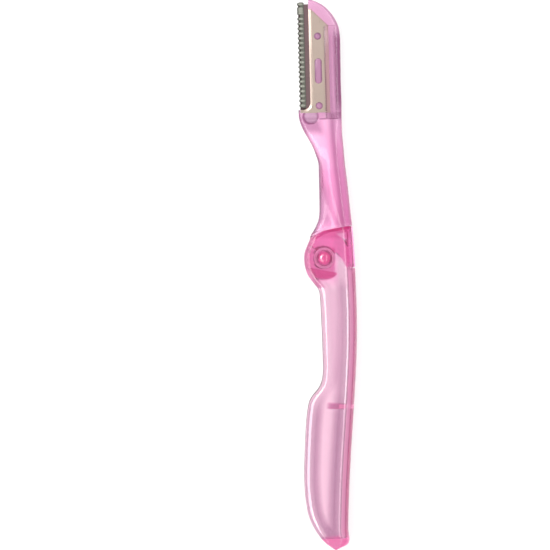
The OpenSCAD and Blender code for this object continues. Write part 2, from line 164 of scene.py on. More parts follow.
# %% The method that adds a node
class Finish:
    """The nodes of one material, or of the world."""

    def __init__(self, name, kinds=bpy.data.materials):
        self.owner = kinds.new(name)
        self.owner.use_nodes = True
        self.tree = self.owner.node_tree
        self.tree.nodes.clear()
        self.made = {}

    def add(self, kind, settings=None, sockets=None, out=0):
        """Adds one node: its settings first, then what each socket holds or is linked to."""
        node = self.tree.nodes.new("ShaderNode" + kind)
        for key, value in (settings or {}).items():
            if key == "stops":
                self.set_stops(node.color_ramp, value)
            else:
                setattr(node, key, value)
        for key, value in (sockets or {}).items():
            if isinstance(value, Signal):
                self.tree.links.new(value.socket, node.inputs[key])
            else:
                node.inputs[key].default_value = value
        return Signal(self, node.outputs[out])

    def set_stops(self, ramp, stops):
        while len(ramp.elements) < len(stops):
            ramp.elements.new(0.5)
        for element, (place, colour) in zip(ramp.elements, stops):
            element.position = place
            element.color = colour

    def on_object(self, scale=(1, 1, 1)):
        """The point on the piece, in millimetres, stretched by scale."""
        place = self.add("TexCoord", out="Object")
        return self.add("Mapping", {}, {"Vector": place, "Scale": tuple(s / mm for s in scale)})

    def noise(self, point, size, detail=2.0):
        """A cloud from 0 to 1 whose blobs are about size millimetres across."""
        return self.add("TexNoise", {}, {"Vector": point, "Scale": 1 / size, "Detail": detail})

    def blend(self, share, first, second):
        """The first colour where share is 0 and the second where it is 1."""
        return self.add("Mix", {"data_type": "RGBA"}, {0: share, 6: first, 7: second}, out=2)

    def bump(self, height, distance, strength):
        sockets = {"Height": height, "Distance": distance * mm, "Strength": strength}
        return self.add("Bump", {}, sockets)

    def mix_shaders(self, share, first, second):
        return self.add("MixShader", {}, {0: share, 1: first, 2: second})

    def output(self, surface, volume=None, kind="OutputMaterial"):
        """Ends the graph and gives the material or the world that it belongs to."""
        node = self.tree.nodes.new("ShaderNode" + kind)
        self.tree.links.new(surface.socket, node.inputs["Surface"])
        if volume:
            self.tree.links.new(volume.socket, node.inputs["Volume"])
        return self.owner


print("shader helpers are ready")

# %% [markdown]
# ## Floor
# The razor lies on a plain white sheet that fills the picture. More lamp light could make it
# white, but it would bleach the razor too, and a lit sheet is never quite even. So most of its
# white is its own glow and the rest is lamp light, which leaves a faint shadow under the razor.
# The glow is only for the camera, for reflections and for looking through.

# %% Floor
floor_side = 4.0
floor_drop = 0.02 * mm
plain_level = 0.8
# The sheet's grey level and its glow, for the camera and in reflections
pictured = (0.36, 0.78)
reflected = (0.5, 1.0)
sheet = Finish("white sheet")


def glowing(level, glow):
    """Grey paper in the lamps' light with some white glow of its own."""
    lit = sheet.add("BsdfDiffuse", {}, {"Color": grey(level)})
    light = sheet.add("Emission", {}, {"Color": white, "Strength": glow})
    return sheet.add("AddShader", {}, {0: lit, 1: light})


to_camera = sheet.add("LightPath", out="Is Camera Ray")
rays = to_camera.socket.node.outputs
mirrored_or_through = Signal(sheet, rays["Is Glossy Ray"]) + Signal(sheet, rays["Is Transmission Ray"])
plain_paper = sheet.add("BsdfDiffuse", {}, {"Color": grey(plain_level)})
not_pictured = sheet.mix_shaders(mirrored_or_through, plain_paper, glowing(*reflected))
paper = sheet.mix_shaders(to_camera, not_pictured, glowing(*pictured))
bpy.ops.mesh.primitive_plane_add(size=floor_side, location=(0, 0, -floor_drop))
floor = bpy.context.object
floor.name = "floor"
floor.data.materials.append(sheet.output(paper))
print("floor is", floor_side, "m wide")

# %% [markdown]
# ## Room
# Clear plastic shows what is around it. A picture of a room could light it, but a pale sky with
# a darker, pinker horizon is enough to draw the thin dark outline along every edge.

# %% World
horizon = (0.46, 0.33, 0.39, 1)
overhead = grey(0.6)
overhead_from = 0.75
through_level = 0.9
left_lift = -0.35
sky = Finish("pale room", bpy.data.worlds)
direction = sky.add("TexCoord", out="Generated")
height_seen = direction.part("X") * left_lift + direction.part("Z")
sky_stops = [(0, horizon), (overhead_from, overhead)]
sky_colour = sky.add("ValToRGB", {"stops": sky_stops}, {0: height_seen})
room = sky.add("Background", {}, {"Color": sky_colour, "Strength": 1.0})
seen_through = sky.add("Background", {}, {"Color": grey(through_level), "Strength": 1.0})
through_ray = sky.add("LightPath", out="Is Transmission Ray")
room_or_paler = sky.mix_shaders(through_ray, room, seen_through)
bpy.context.scene.world = sky.output(room_or_paler, kind="OutputWorld")
print("the room is pale above and darker at the horizon")

# %% [markdown]
# ## Soft boxes
# The long white streaks on the handle and the arm are reflections of long lamps beside them.
# Small lamps would leave dots instead. Each lamp is a panel that faces the razor, so a row of
# numbers places it: how far round it stands and how far from straight up, in degrees, its
# length and width in metres, and its power.

# %% Soft boxes
box_away = 0.84
box_rows = [
    ("left_box", 180, 35, 0.8, 0.3, 2.6), ("lower_left_box", 232, 35, 0.45, 0.3, 1.45),
    ("upper_left_box", 128, 35, 0.45, 0.3, 1.45), ("right_box", 0, 26, 1.1, 0.09, 1.2)]
for name, round_turn, tilt, length, width, power in box_rows:
    turn = math.radians(round_turn)
    flat = Vector((math.cos(turn), math.sin(turn), 0)) * math.sin(math.radians(tilt))
    place = (flat + Vector((0, 0, math.cos(math.radians(tilt))))) * box_away
    bpy.ops.object.light_add(type="AREA", location=place)
    lamp = bpy.context.object
    lamp.name = name
    lamp.data.shape = "RECTANGLE"
    lamp.data.size = length
    lamp.data.size_y = width
    lamp.data.energy = power
    lamp.rotation_euler = (-place).to_track_quat("-Z", "Y").to_euler()
    lamp.visible_transmission = False
print("soft boxes placed:", len(box_rows))

# %% [markdown]
# ## Sizes of the handle
# The handle is drawn from the hinge axis, in millimetres. Its outline could be traced as a
# curve, but here it is a few chosen points, written as shares of one width and one length. The
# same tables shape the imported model, so the pieces below lie exactly over its solids.

# %% Handle sizes
handle_reach = 81.5
handle_w = 14.9
half_t = 3.8
cheek_wall = 1.3
spine_wall = 1.5
tip_wall = 3.2
spine_curve_w = 5.5
spine_start = 2.7
channel_half = half_t - cheek_wall
channel_round = 1.5
channel_power = 2.8
crown_power = 2.8
fit = 0.02
open_side_shares = [
    (0.201, -1), (0.110, -0.989), (-0.023, -0.968), (-0.163, -0.934), (-0.289, -0.886),
    (-0.349, -0.831), (-0.375, -0.755), (-0.370, -0.693), (-0.345, -0.583), (-0.317, -0.528),
    (-0.287, -0.497), (-0.221, -0.473), (-0.101, -0.446), (-0.040, -0.418), (-0.021, -0.384),
    (-0.026, -0.336), (-0.049, -0.226), (-0.080, -0.130), (-0.105, -0.1075), (-0.186, -0.0886),
    (-0.300, -0.061), (-0.354, -0.034), (-0.377, -0.006), (-0.366, 0.021), (-0.307, 0.049),
    (-0.250, 0.073), (-0.190, 0.1), (-0.130, 0.125)]
spine_side_shares = [
    (0.242, -1), (0.4555, -0.980), (0.4585, -0.930), (0.4615, -0.886), (0.480, -0.776),
    (0.510, -0.666), (0.548, -0.556), (0.585, -0.446), (0.6135, -0.336), (0.623, -0.2535),
    (0.617, -0.171), (0.585, -0.034), (0.568, 0.021), (0.546, 0.076), (0.522, 0.125)]
handle_bulk_shares = [
    (-1, 0.72), (-0.985, 0.88), (-0.965, 0.97), (-0.94, 1), (-0.9, 1), (0.2, 1)]
seam_shares = [
    (-0.45, 0.073), (-0.257, 0.073), (-0.193, 0.0715), (-0.1105, 0.080), (0.007, 0.0937),
    (0.141, 0.100), (0.307, 0.1058), (0.4595, 0.110), (0.522, 0.1096), (0.75, 0.1096)]
print("handle reaches", handle_reach, "mm down from the hinge axis")

# %% [markdown]
# ## Sizes of the arm
# The arm is drawn from the hinge axis too. Besides its two sides it has a table of sections,
# because the shank is round, the head is flat, and the part that enters the handle is thin.

# %% Arm sizes
arm_reach = 72.4
arm_w = 11.8
head_half = 1.7
shoulder_half = 3.6
shank_half = 2.9
shoulder_gap = 0.2
tongue_half = channel_half - 0.3
tongue_lap = 0.8
hub_half = channel_half - 0.12
hub_r = 3.0
lobe_r = 5.8
arm_left_shares = [
    (-0.331, 0.07), (-0.330, 0.085), (-0.219, 0.117), (-0.140, 0.148), (-0.116, 0.179),
    (-0.116, 0.210), (-0.124, 0.272), (-0.133, 0.333), (-0.140, 0.365), (-0.192, 0.395),
    (-0.266, 0.427), (-0.363, 0.457), (-0.477, 0.488), (-0.563, 0.519), (-0.603, 0.543),
    (-0.608, 0.563), (-0.608, 0.70), (-0.608, 0.85), (-0.600, 0.93), (-0.560, 0.975),
    (-0.500, 0.990), (-0.430, 0.996), (-0.375, 1)]
arm_right_shares = [
    (0.693, 0.07), (0.674, 0.117), (0.629, 0.179), (0.588, 0.240), (0.546, 0.302),
    (0.496, 0.365), (0.460, 0.427), (0.425, 0.488), (0.415, 0.550), (0.413, 0.612),
    (0.398, 0.674), (0.394, 0.736), (0.386, 0.797), (0.385, 0.829), (0.377, 0.859),
    (0.347, 0.891), (0.314, 0.906), (0.270, 0.921), (0.214, 0.936), (0.137, 0.952),
    (0.045, 0.968), (-0.081, 0.983), (-0.171, 0.990), (-0.280, 0.997), (-0.345, 1)]
section_columns = ("height", "bulk", "thin to", "thick from", "left roundness", "right roundness")
arm_section_shares = [
    (0.07, 1.00, 0.42, 0.78, 3.4, 4.0), (0.12, 1.00, 0.40, 0.76, 3.2, 3.6),
    (0.18, 0.80, 0.22, 0.66, 2.6, 3.0), (0.25, 0.58, 0.12, 0.56, 2.4, 2.7),
    (0.33, 0.44, 0.04, 0.48, 2.4, 2.5), (0.42, 0.30, 0.20, 0.62, 2.6, 2.6),
    (0.49, 0.12, 0.40, 0.70, 3.4, 3.2), (0.56, 0.00, 0.40, 0.80, 6.0, 4.2),
    (1.0, 0.00, 0.40, 0.80, 6.0, 4.2)]
shank_bulk_share = 0.44
print("arm reaches", arm_reach, "mm up from the hinge axis")

# %% [markdown]
# ## Sizes of the head
# The blade leans a little against the arm, so the head has a frame of its own, with its origin
# at the middle of the blade strip and its second axis along the cutting edge.

# %% Sizes of the head
head_o = Vector((-0.14 * arm_w, 0.7236 * arm_reach, 0.4))
head_lean = math.radians(1.4)
blade_w = 8.0
blade_t = 0.2
clip_sheet = 0.3
clip_w = 5.45
clip_h = 29.0
lip_w = 0.7
peg_hole_r = 1.0
peg_span = 19.5
slot_len = 7.1
lip_x = -0.44 * clip_w
fold_x = lip_x + clip_w
edge_x = fold_x - blade_w - fit - clip_sheet
foot_y = -0.403 * clip_h
foot_top = foot_y + 0.9
clip_top = foot_y + clip_h
clip_corner = clip_top - (clip_w - lip_w)
clip_out = blade_t / 2 + fit + clip_sheet
seat_z = -clip_out - fit
cover_x = fold_x - 1.3
wall_x = fold_x + 1.85
cover_low = foot_y - 6 * clip_sheet
relief_r = peg_hole_r + lip_w + clip_sheet
relief_y = foot_y - relief_r / 2
peg_rows = (-peg_span / 2, peg_span / 2)
print("clip runs from", round(foot_y, 2), "to", round(clip_top, 2), "mm in the head")

# %% [markdown]
# ## Curves
# A moulding's outline is smooth though it is chosen by a few points. Straight lines between
# them would show as flats in the gloss. A cubic between each two points, with the slope of its
# neighbours, is what a draughtsman's curve does.


# %% Smooth law
def smooth(rows, place):
    """Value at a place of a table of (place, value), joined by smooth cubics."""
    i = 0
    while i < len(rows) - 2 and place > rows[i + 1][0]:
        i += 1
    (y0, v0), (y1, v1) = rows[i], rows[i + 1]

    def slope(k):
        a = rows[max(k - 1, 0)]
        b = rows[min(k + 1, len(rows) - 1)]
        return (b[1] - a[1]) / (b[0] - a[0])

    h = y1 - y0
    t = min(max((place - y0) / h, 0), 1)
    start = (2 * t ** 3 - 3 * t ** 2 + 1) * v0 + (t ** 3 - 2 * t ** 2 + t) * h * slope(i)
    return start + (3 * t ** 2 - 2 * t ** 3) * v1 + (t ** 3 - t ** 2) * h * slope(i + 1)


def side(shares, width, length):
    """Table of (y, x) of one side of an outline, in millimetres."""
    return [(y * length, x * width) for x, y in shares]


def bend(value, power):
    """Signed power, which squares the shoulders of a round section."""
    return math.copysign(abs(value) ** (2 / power), value)


def rise(a, b, s):
    """Smooth step from 0 at a to 1 at b."""
    t = min(max((s - a) / (b - a), 0), 1)
    return t * t * (3 - 2 * t)


handle_open = side(open_side_shares, handle_w, handle_reach)
handle_spine = side(spine_side_shares, handle_w, handle_reach)
handle_bulk = [(y * handle_reach, share * half_t) for y, share in handle_bulk_shares]
arm_left = side(arm_left_shares, arm_w, arm_reach)
arm_right = side(arm_right_shares, arm_w, arm_reach)
paddle_y = -60
paddle_w = smooth(handle_spine, paddle_y) - smooth(handle_open, paddle_y)
print("handle is", round(paddle_w, 2), "mm wide at its paddle")

# %% [markdown]
# ## Bars with a changing section
# A moulded handle is a bar whose section changes along its length. It could be carved or
# subdivided, but the section is known at every place, so a round disc is extruded from station
# to station and each ring is then pulled onto its section.


# %% Places
def only(piece):
    """Selects one object alone and makes it the active one."""
    bpy.ops.object.select_all(action="DESELECT")
    piece.select_set(True)
    bpy.context.view_layer.objects.active = piece


def place_at_hinge(point):
    """A point drawn from the hinge axis, in millimetres, to its place in the row frame."""
    return hinge + Vector(point) * mm


def place_in_head(point):
    """A point of the leaning head's own frame to its place in the row frame."""
    turned_point = Matrix.Rotation(head_lean, 3, "Z") @ Vector(point)
    return place_at_hinge(turned_point + head_o)


def place_on_circle(across, up, around):
    """Which point of a circle primitive this is; its first point is straight up."""
    turn = math.atan2(up, across) / (2 * math.pi) - 0.25
    return round(turn % 1 * around) % around


# %% Skin over sections
def skin(name, stations, section, placed=place_at_hinge):
    """A closed bar: a disc is extruded once per station and each ring is pulled onto its section."""
    rings = [section(y) for y in stations]
    around = len(rings[0])
    bpy.ops.object.select_all(action="DESELECT")
    bpy.ops.mesh.primitive_circle_add(
        vertices=around, radius=1, fill_type="NGON", rotation=(math.pi / 2, 0, 0))
    piece = bpy.context.object
    piece.name = name
    bpy.ops.object.transform_apply(location=True, rotation=True, scale=True)
    bpy.ops.object.mode_set(mode="EDIT")
    bpy.ops.mesh.select_all(action="SELECT")
    for _ in stations[1:]:
        bpy.ops.mesh.extrude_region_move(TRANSFORM_OT_translate={"value": (0, 1, 0)})
    bpy.ops.object.mode_set(mode="OBJECT")
    for vertex in piece.data.vertices:
        station = round(vertex.co.y)
        x, z = rings[station][place_on_circle(vertex.co.x, vertex.co.z, around)]
        vertex.co = placed((x, stations[station], z))
    settle(piece)
    return piece


def settle(piece):
    """Merges doubles and turns every face outwards."""
    only(piece)
    bpy.ops.object.mode_set(mode="EDIT")
    bpy.ops.mesh.select_all(action="SELECT")
    bpy.ops.mesh.remove_doubles(threshold=0.0001 * mm)
    bpy.ops.mesh.normals_make_consistent(inside=False)
    bpy.ops.object.mode_set(mode="OBJECT")


def turned(name, profile, placed, around=48):
    """A turned piece: rows of (height, radius), each a ring."""
    turns = [2 * math.pi * (k + 0.5) / around for k in range(around)]

    def ring(row):
        return [(row[1] * math.cos(a), row[1] * math.sin(a)) for a in turns]

    return skin(name, profile, ring, lambda p: placed((p[0], p[2], p[1][0])))


# %% Plates
def slab(name, outline, low, high, placed=place_at_hinge):
    """A flat plate: a disc pulled onto an outline and extruded from low to high."""
    bpy.ops.object.select_all(action="DESELECT")
    bpy.ops.mesh.primitive_circle_add(vertices=len(outline), radius=1, fill_type="NGON")
    piece = bpy.context.object
    piece.name = name
    for vertex in piece.data.vertices:
        x, y = outline[place_on_circle(vertex.co.x, vertex.co.y, len(outline))]
        vertex.co = placed((x, y, low))
    bpy.ops.object.mode_set(mode="EDIT")
    bpy.ops.mesh.select_all(action="SELECT")
    bpy.ops.mesh.extrude_region_move(TRANSFORM_OT_translate={"value": (0, 0, (high - low) * mm)})
    bpy.ops.object.mode_set(mode="OBJECT")
    settle(piece)
    return piece


def disc(name, radius, low, high, centre=(0, 0), placed=place_at_hinge, around=64):
    """A round plate."""
    turns = [2 * math.pi * k / around for k in range(around)]
    outline = [(centre[0] + radius * math.cos(a), centre[1] + radius * math.sin(a)) for a in turns]
    return slab(name, outline, low, high, placed)


def box_outline(x0, y0, x1, y1):
    return [(x0, y0), (x1, y0), (x1, y1), (x0, y1)]


# %% Cuts and joins
carve_tries = 6
volume_slack = 0.01


def volume(mesh):
    """Volume of a closed mesh, in cubic millimetres."""
    shape = bmesh.new()
    shape.from_mesh(mesh)
    size = shape.calc_volume() / mm ** 3
    shape.free()
    return size


def carve(piece, tool, how="DIFFERENCE"):
    """Cuts the tool out of the piece, or joins it on, and throws the tool away.

    The solver now and then loses most of a mesh. A cut or a join never changes the piece by
    more than the tool's own volume, so a result that does is thrown away and made again.
    """
    whole = piece.data.copy()
    most = volume(tool.data) * 1.001 + volume_slack
    start = volume(whole)
    only(piece)
    for _ in range(carve_tries):
        change = piece.modifiers.new("carve", "BOOLEAN")
        change.operation = how
        change.solver = "EXACT"
        change.object = tool
        bpy.ops.object.modifier_apply(modifier=change.name)
        if abs(volume(piece.data) - start) < most:
            break
        print("made again:", tool.name)
        piece.data = whole.copy()
    bpy.data.objects.remove(tool)


def span(low, high, step):
    """Even stations from low to high."""
    count = math.ceil((high - low) / step)
    return [low + (high - low) * k / count for k in range(count + 1)]


# %% [markdown]
# ## Handle shell
# The handle is one moulding: two cheeks joined along a rounded spine, open along the cutting
# side so that the arm folds in. It could be a sheet given a thickness, but the spine, the
# cheeks and the tip differ in theirs. So its outside and its channel are two bars, and the
# second is cut out of the first.


# %% Handle sections
crown_share = 0.6
crown_steps = 22
flat_steps = 26
flat_crowding = 1.8
floor_steps = 14
# Cheek's edge along the open side: (depth behind it, how far the face has dropped there)
edge_profile = [
    (0, 1.12), (0.06, 0.93), (0.2, 0.72), (0.45, 0.51), (0.8, 0.345), (1.3, 0.15),
    (1.7, 0.055), (2.2, 0.02), (3.2, 0.005), (5.0, 0)]


def half_turn(top_half):
    """A whole section from its upper half, which runs from the spine side to the open side."""
    return top_half + [(x, -z) for x, z in reversed(top_half)]


def edge_drop(depth):
    """How far the cheek's face lies below its flat at a depth behind the open side."""
    return smooth(edge_profile, min(depth, edge_profile[-1][0]))


def handle_section(y):
    """Outer section of the handle: rounded spine, nearly flat cheek, rounded open edge."""
    x0 = smooth(handle_open, y)
    x1 = smooth(handle_spine, y)
    h = min(smooth(handle_bulk, y), half_t)
    w = x1 - x0
    crown = min(spine_curve_w, w * crown_share)
    top = []
    for k in range(crown_steps):
        a = math.pi / 2 * (k + 0.5) / crown_steps
        x = x1 - crown + crown * bend(math.cos(a), crown_power)
        top.append((x, h * bend(math.sin(a), crown_power)))
    reach = w - crown
    squeeze = min(1, reach / edge_profile[-1][0])
    for k in range(flat_steps):
        share = 1 - (k + 0.5) / flat_steps
        depth = reach * share ** flat_crowding
        top.append((x0 + depth, h - edge_drop(depth / squeeze)))
    top.append((x0, h - edge_drop(0)))
    return half_turn(top)


def channel_section(y):
    """Section of the channel: flat sides that round over to its floor along the spine."""
    x1 = smooth(handle_spine, y) - spine_wall
    top = []
    for k in range(floor_steps):
        a = math.pi / 2 * (k + 0.5) / (floor_steps - 0.5)
        x = x1 - channel_round + channel_round * bend(math.cos(a), channel_power)
        top.append((x, channel_half * bend(math.sin(a), channel_power)))
    top.append((-handle_w, channel_half))
    return half_turn(top)


print("edge drops", edge_drop(0), "mm at the open side")

# %% [markdown]
# ## Handle's cuts
# The channel, the throat where the arm turns, the sloping top edge and the round recesses for
# the pin's head and cap are cut from the bar. The small rib that stops the arm is joined on.

# %% Handle
tip_low = -handle_reach
tip_high = -0.94 * handle_reach
handle_top = 0.125 * handle_reach
channel_top = 0.15 * handle_reach
tip_step = 0.35
grip_step = 0.8
channel_step = 1.2
rib_left = 4.1
rib_low = -41.95
rib_middle = -41.4
rib_high = -40.85
pin_r = 1.1
head_recess_r = 2.35
cap_recess_r = 2.75
recess_d = 0.55
above = 2 * half_t


def seam_outline(lift):
    """Everything above the cheeks' top edge."""
    edge = [(x * handle_w, y * handle_reach + lift) for x, y in seam_shares]
    return edge + [(handle_w, handle_reach), (-handle_w, handle_reach)]


def make_handle():
    stations = span(tip_low, tip_high, tip_step) + span(tip_high, handle_top, grip_step)[1:]
    shell = skin("handle", stations, handle_section)
    carve(shell, skin("channel", span(tip_wall + tip_low, channel_top, channel_step), channel_section))
    throat = box_outline(-handle_w, -spine_start - fit, handle_w, handle_reach)
    carve(shell, slab("throat", throat, -channel_half, channel_half))
    rib = box_outline(rib_left, rib_low, smooth(handle_spine, rib_middle) - spine_wall / 2, rib_high)
    carve(shell, slab("rib", rib, -channel_half - fit, channel_half + fit), "UNION")
    carve(shell, slab("above seam", seam_outline(0), -above, above))
    carve(shell, disc("bore", pin_r + fit, -above, above))
    carve(shell, disc("head recess", head_recess_r, half_t - recess_d, above))
    carve(shell, disc("cap recess", cap_recess_r, -above, recess_d - half_t))
    return shell


handle = make_handle()
print("handle has", len(handle.data.polygons), "faces")

# %% [markdown]
# ## Blade arm
# The arm is solid: a flat head that holds the blade, a round shank, and a thin tongue between
# the cheeks with a hub round the pin. Pieces pushed into each other would show their inner
# faces through the clear plastic, so one bar makes the outside, and the rest is joined to it.
# Its section is thick on the spine side and thin on the side that enters the handle.

# %% Arm sections
arm_around = 96


def arm_law(name, y):
    """One column of the arm's table of sections, at a height."""
    column = section_columns.index(name)
    return smooth([(row[0] * arm_reach, row[column]) for row in arm_section_shares], y)


def arm_thick(y):
    """Half thickness of the arm's thick part, from the head's to the shoulder's."""
    bulk = arm_law("bulk", y)
    if bulk < shank_bulk_share:
        return head_half + (shank_half - head_half) * bulk / shank_bulk_share
    share = (bulk - shank_bulk_share) / (1 - shank_bulk_share)
    return shank_half + (shoulder_half - shank_half) * share


def arm_section(y):
    """Section of the arm: rounded, and thin at the side that enters the handle."""
    x0 = smooth(arm_left, y)
    x1 = smooth(arm_right, y)
    thick = arm_thick(y)
    entry = min(arm_law("bulk", y) / shank_bulk_share, 1)
    thin = min(thick, head_half + (tongue_half - head_half) * entry)
    start = arm_law("thin to", y)
    stop = arm_law("thick from", y)
    ring = []
    for k in range(arm_around):
        a = 2 * math.pi * (k + 0.5) / arm_around
        power = arm_law("left roundness" if math.cos(a) < 0 else "right roundness", y)
        u = bend(math.cos(a), power)
        t = thin + (thick - thin) * rise(start, stop, (u + 1) / 2)
        ring.append(((x0 + x1) / 2 + u * (x1 - x0) / 2, t * bend(math.sin(a), power)))
    return ring


print("shoulder is", round(2 * arm_thick(0.1 * arm_reach), 2), "mm thick")

# %% [markdown]
# ## Seat, cover and slot in the head
# The clip lies in a seat cut into the head, and a cover closes over its back edge. Both are
# flat plates in the head's own frame, so each is an outline and two heights.

# %% Outlines of the head
seat_past = 0.6
slot_steps = 32


def seat_outline():
    """Seat of the clip, which runs out past the head's front so that no two cuts share a face."""
    return [
        (edge_x - seat_past, foot_y - fit), (fold_x + fit, foot_y - fit),
        (fold_x + fit, clip_corner + fit / 2), (lip_x + lip_w + fit / 2, clip_top + fit),
        (lip_x - seat_past, clip_top + fit), (lip_x - seat_past, foot_top + seat_past),
        (edge_x - seat_past, foot_top + seat_past)]


def cover_outline(room):
    """Outline of the cover over the clip's back edge, with room round it."""
    lap = fold_x - cover_x
    return [
        (cover_x - room, cover_low - room), (wall_x + room, cover_low - room),
        (wall_x + room, clip_corner + room), (cover_x + lap / 3, clip_corner + room),
        (cover_x - room, clip_corner - lap / 3)]


def slot_outline(r, length):
    """Round-ended slot along the blade."""
    turns = [math.pi * k / slot_steps for k in range(slot_steps + 1)]
    ends = [(r * math.cos(a), length / 2 - r + r * math.sin(a)) for a in turns]
    return ends + [(-x, -y) for x, y in ends]


print("cover is", round(wall_x - cover_x, 2), "mm wide")

# %% [markdown]
# ## Tongue of the arm
# Between the cheeks the arm is a thin web with a round lobe below the pin and a tail that meets
# the end of the handle's spine. That meeting stops the razor when it is opened.

# %% Outlines of the tongue
web_shares = [
    (-0.741, 0.724), (0, 0), (0.586, 0.276), (0.845, -0.034), (0.948, -0.276), (1.035, -0.43)]
web_last_share = (-0.672, 1.07)
web_corner = 8.9
web_left = 0.4
web_right = 6.5
pocket_shares = [(0.552, 1.17), (1.035, 1.26), (1.069, 0.552), (0.931, 0.828), (0.759, 1.034)]
lobe_from = 200
lobe_turn = 115
lobe_steps = 80
lobe_left = -0.86 * lobe_r
lobe_right = 0.61 * lobe_r
lobe_top = -0.43 * lobe_r
least_apart = 0.01


def below_seam(lift):
    edge = [(x * handle_w, y * handle_reach + lift) for x, y in reversed(seam_shares)]
    return edge + [(-handle_w, -handle_w), (handle_w, -handle_w)]


def lobe_scaled(shares):
    return [(x * lobe_r, y * lobe_r) for x, y in shares]


def web_outline():
    """Web that joins the hub to the shoulder, with the tail that meets the handle's spine."""
    top = [(x * handle_w, y * handle_reach + shoulder_gap + tongue_lap) for x, y in seam_shares]
    left = smooth(arm_left, 2 * lobe_r) + shoulder_gap
    points = lobe_scaled(web_shares)
    points += [(smooth(handle_spine, y) - 2 * fit, y) for y in (shoulder_gap - spine_start, 0, lobe_r)]
    points.append((smooth(handle_spine, web_corner) - 4 * fit, web_corner))
    points += [p for p in reversed(top) if left + web_left < p[0] < web_right]
    return points + lobe_scaled([web_last_share])


def lobe_outline():
    """Round lobe below the hub, cut off at its sides, with no point twice."""
    points = []
    for k in range(lobe_steps + 1):
        a = math.radians(lobe_from + lobe_turn * k / lobe_steps)
        x = min(max(lobe_r * math.cos(a), lobe_left), lobe_right)
        point = Vector((x, min(lobe_r * math.sin(a), lobe_top)))
        if not points or (point - points[-1]).length > least_apart:
            points.append(point)
    return points


print("lobe has", len(lobe_outline()), "points")

# %% [markdown]
# ## Arm's cuts and joins
# The head's front, the seat and the pocket are cut from the bar, then the tongue, the hub and
# the pegs that hold the clip are joined on, and the bore goes through last.

# %% Arm
arm_low = 0.07 * arm_reach
arm_step = 0.7
bore_r = 1.15
peg_r = peg_hole_r - 0.12
peg_top = clip_out + 0.15
key_len = slot_len - 0.24
relief_floor = seat_z + 0.05
lobe_inset = 0.005


def drop_flaps(piece):
    """Deletes faces that lie back to back on the same corners, which a cut can leave behind."""
    shape = bmesh.new()
    shape.from_mesh(piece.data)
    on_corners = {}
    for face in shape.faces:
        on_corners.setdefault(frozenset(v.index for v in face.verts), []).append(face)
    flaps = [face for faces in on_corners.values() if len(faces) > 1 for face in faces]
    bmesh.ops.delete(shape, geom=flaps, context="FACES")
    shape.to_mesh(piece.data)
    shape.free()
    print("flaps taken away:", len(flaps))


def cut_head(arm):
    """Cuts the head's front, the clip's seat, the cover's pocket and the relief below the foot."""
    top = 2 * head_half
    front = box_outline(-2 * arm_w, foot_top + fit, lip_x - fit, arm_reach)
    carve(arm, slab("front", front, -top, top, place_in_head))
    carve(arm, slab("seat", seat_outline(), seat_z, top, place_in_head))
    carve(arm, slab("pocket", cover_outline(fit), clip_out + fit, top, place_in_head))
    carve(arm, disc("relief", relief_r, relief_floor, top, (lip_x, relief_y), place_in_head))


def make_arm():
    arm = skin("arm", span(arm_low, arm_reach, arm_step), arm_section)
    carve(arm, slab("below seam", below_seam(shoulder_gap), -above, above))
    cut_head(arm)
    web = slab("web", web_outline(), -tongue_half, tongue_half)
    carve(web, slab("web pocket", lobe_scaled(pocket_shares), -half_t, half_t))
    carve(arm, web, "UNION")
    lobe_half = tongue_half - lobe_inset
    carve(arm, slab("lobe", lobe_outline(), -lobe_half, lobe_half), "UNION")
    carve(arm, disc("hub", hub_r, -hub_half, hub_half), "UNION")
    for y in peg_rows:
        carve(arm, disc("peg", peg_r, -head_half, peg_top, (0, y), place_in_head), "UNION")
    key = slot_outline(peg_r, key_len)
    carve(arm, slab("key", key, -head_half, peg_top, place_in_head), "UNION")
    carve(arm, disc("arm bore", bore_r, -above, above))
    drop_flaps(arm)
    return arm


arm = make_arm()
print("arm has", len(arm.data.polygons), "faces")

# %% [markdown]
# ## Cover, pin and cap
# A thin cover is welded over the clip's back edge. The pin is a turned piece with a domed head,
# so its profile is drawn once and swept round, and the rear cap is a plate pressed on its stub.

# %% Cover, pin and cap
pin_head_r = 1.65
pin_under_r = pin_head_r - 0.02
dome_steps = 12
dome_top_turn = 0.002
cap_r = 1.95
stub_r = 0.7
cover_drop = 0.2
head_face = head_half - head_o.z
rear_end = 2 * fit - half_t


def make_pin():
    seat = half_t - recess_d + fit
    dome = recess_d - 3 * fit
    ball = (pin_head_r ** 2 + dome ** 2) / (2 * dome)
    lean = math.asin(pin_head_r / ball)
    profile = [(rear_end, stub_r), (-seat, stub_r), (-seat, pin_r), (seat, pin_r), (seat, pin_under_r)]
    for k in range(dome_steps + 1):
        a = lean * (1 - k / dome_steps) + dome_top_turn
        profile.append((seat + dome - ball + ball * math.cos(a), ball * math.sin(a)))
    return turned("pin", profile, place_at_hinge)


def make_cap():
    cap = disc("cap", cap_r, rear_end, recess_d - half_t - fit)
    carve(cap, disc("stub hole", stub_r + fit, -above, 0))
    return cap


cover = slab("cover", cover_outline(0), clip_out + 2 * fit, head_face - cover_drop, place_in_head)
pin = make_pin()
cap = make_cap()
print("pin has", len(pin.data.polygons), "faces")

# %% [markdown]
# ## Comb guard
# The comb is a row of short bars with ball ends, moulded on a band along the cutting edge, and
# a slot for the blade runs through all of them. One bar is modelled, cut and then copied along
# the row, each copy with its own mesh.

# %% Comb guard
teeth = 19
tooth_pitch = 1.347
tooth_r = 0.6
tooth_len = 1.6
tooth_around = 24
close_teeth = 4
close_per_pitch = 3
band_half = 0.45
band_set = 0.55
comb_back = edge_x + tooth_len
comb_low = foot_top + clip_sheet * 2
first_tooth = comb_low + tooth_r
end_tooth = first_tooth + teeth * tooth_pitch + tooth_r / 3
cap_tooth = end_tooth + tooth_pitch + 2 * tooth_r
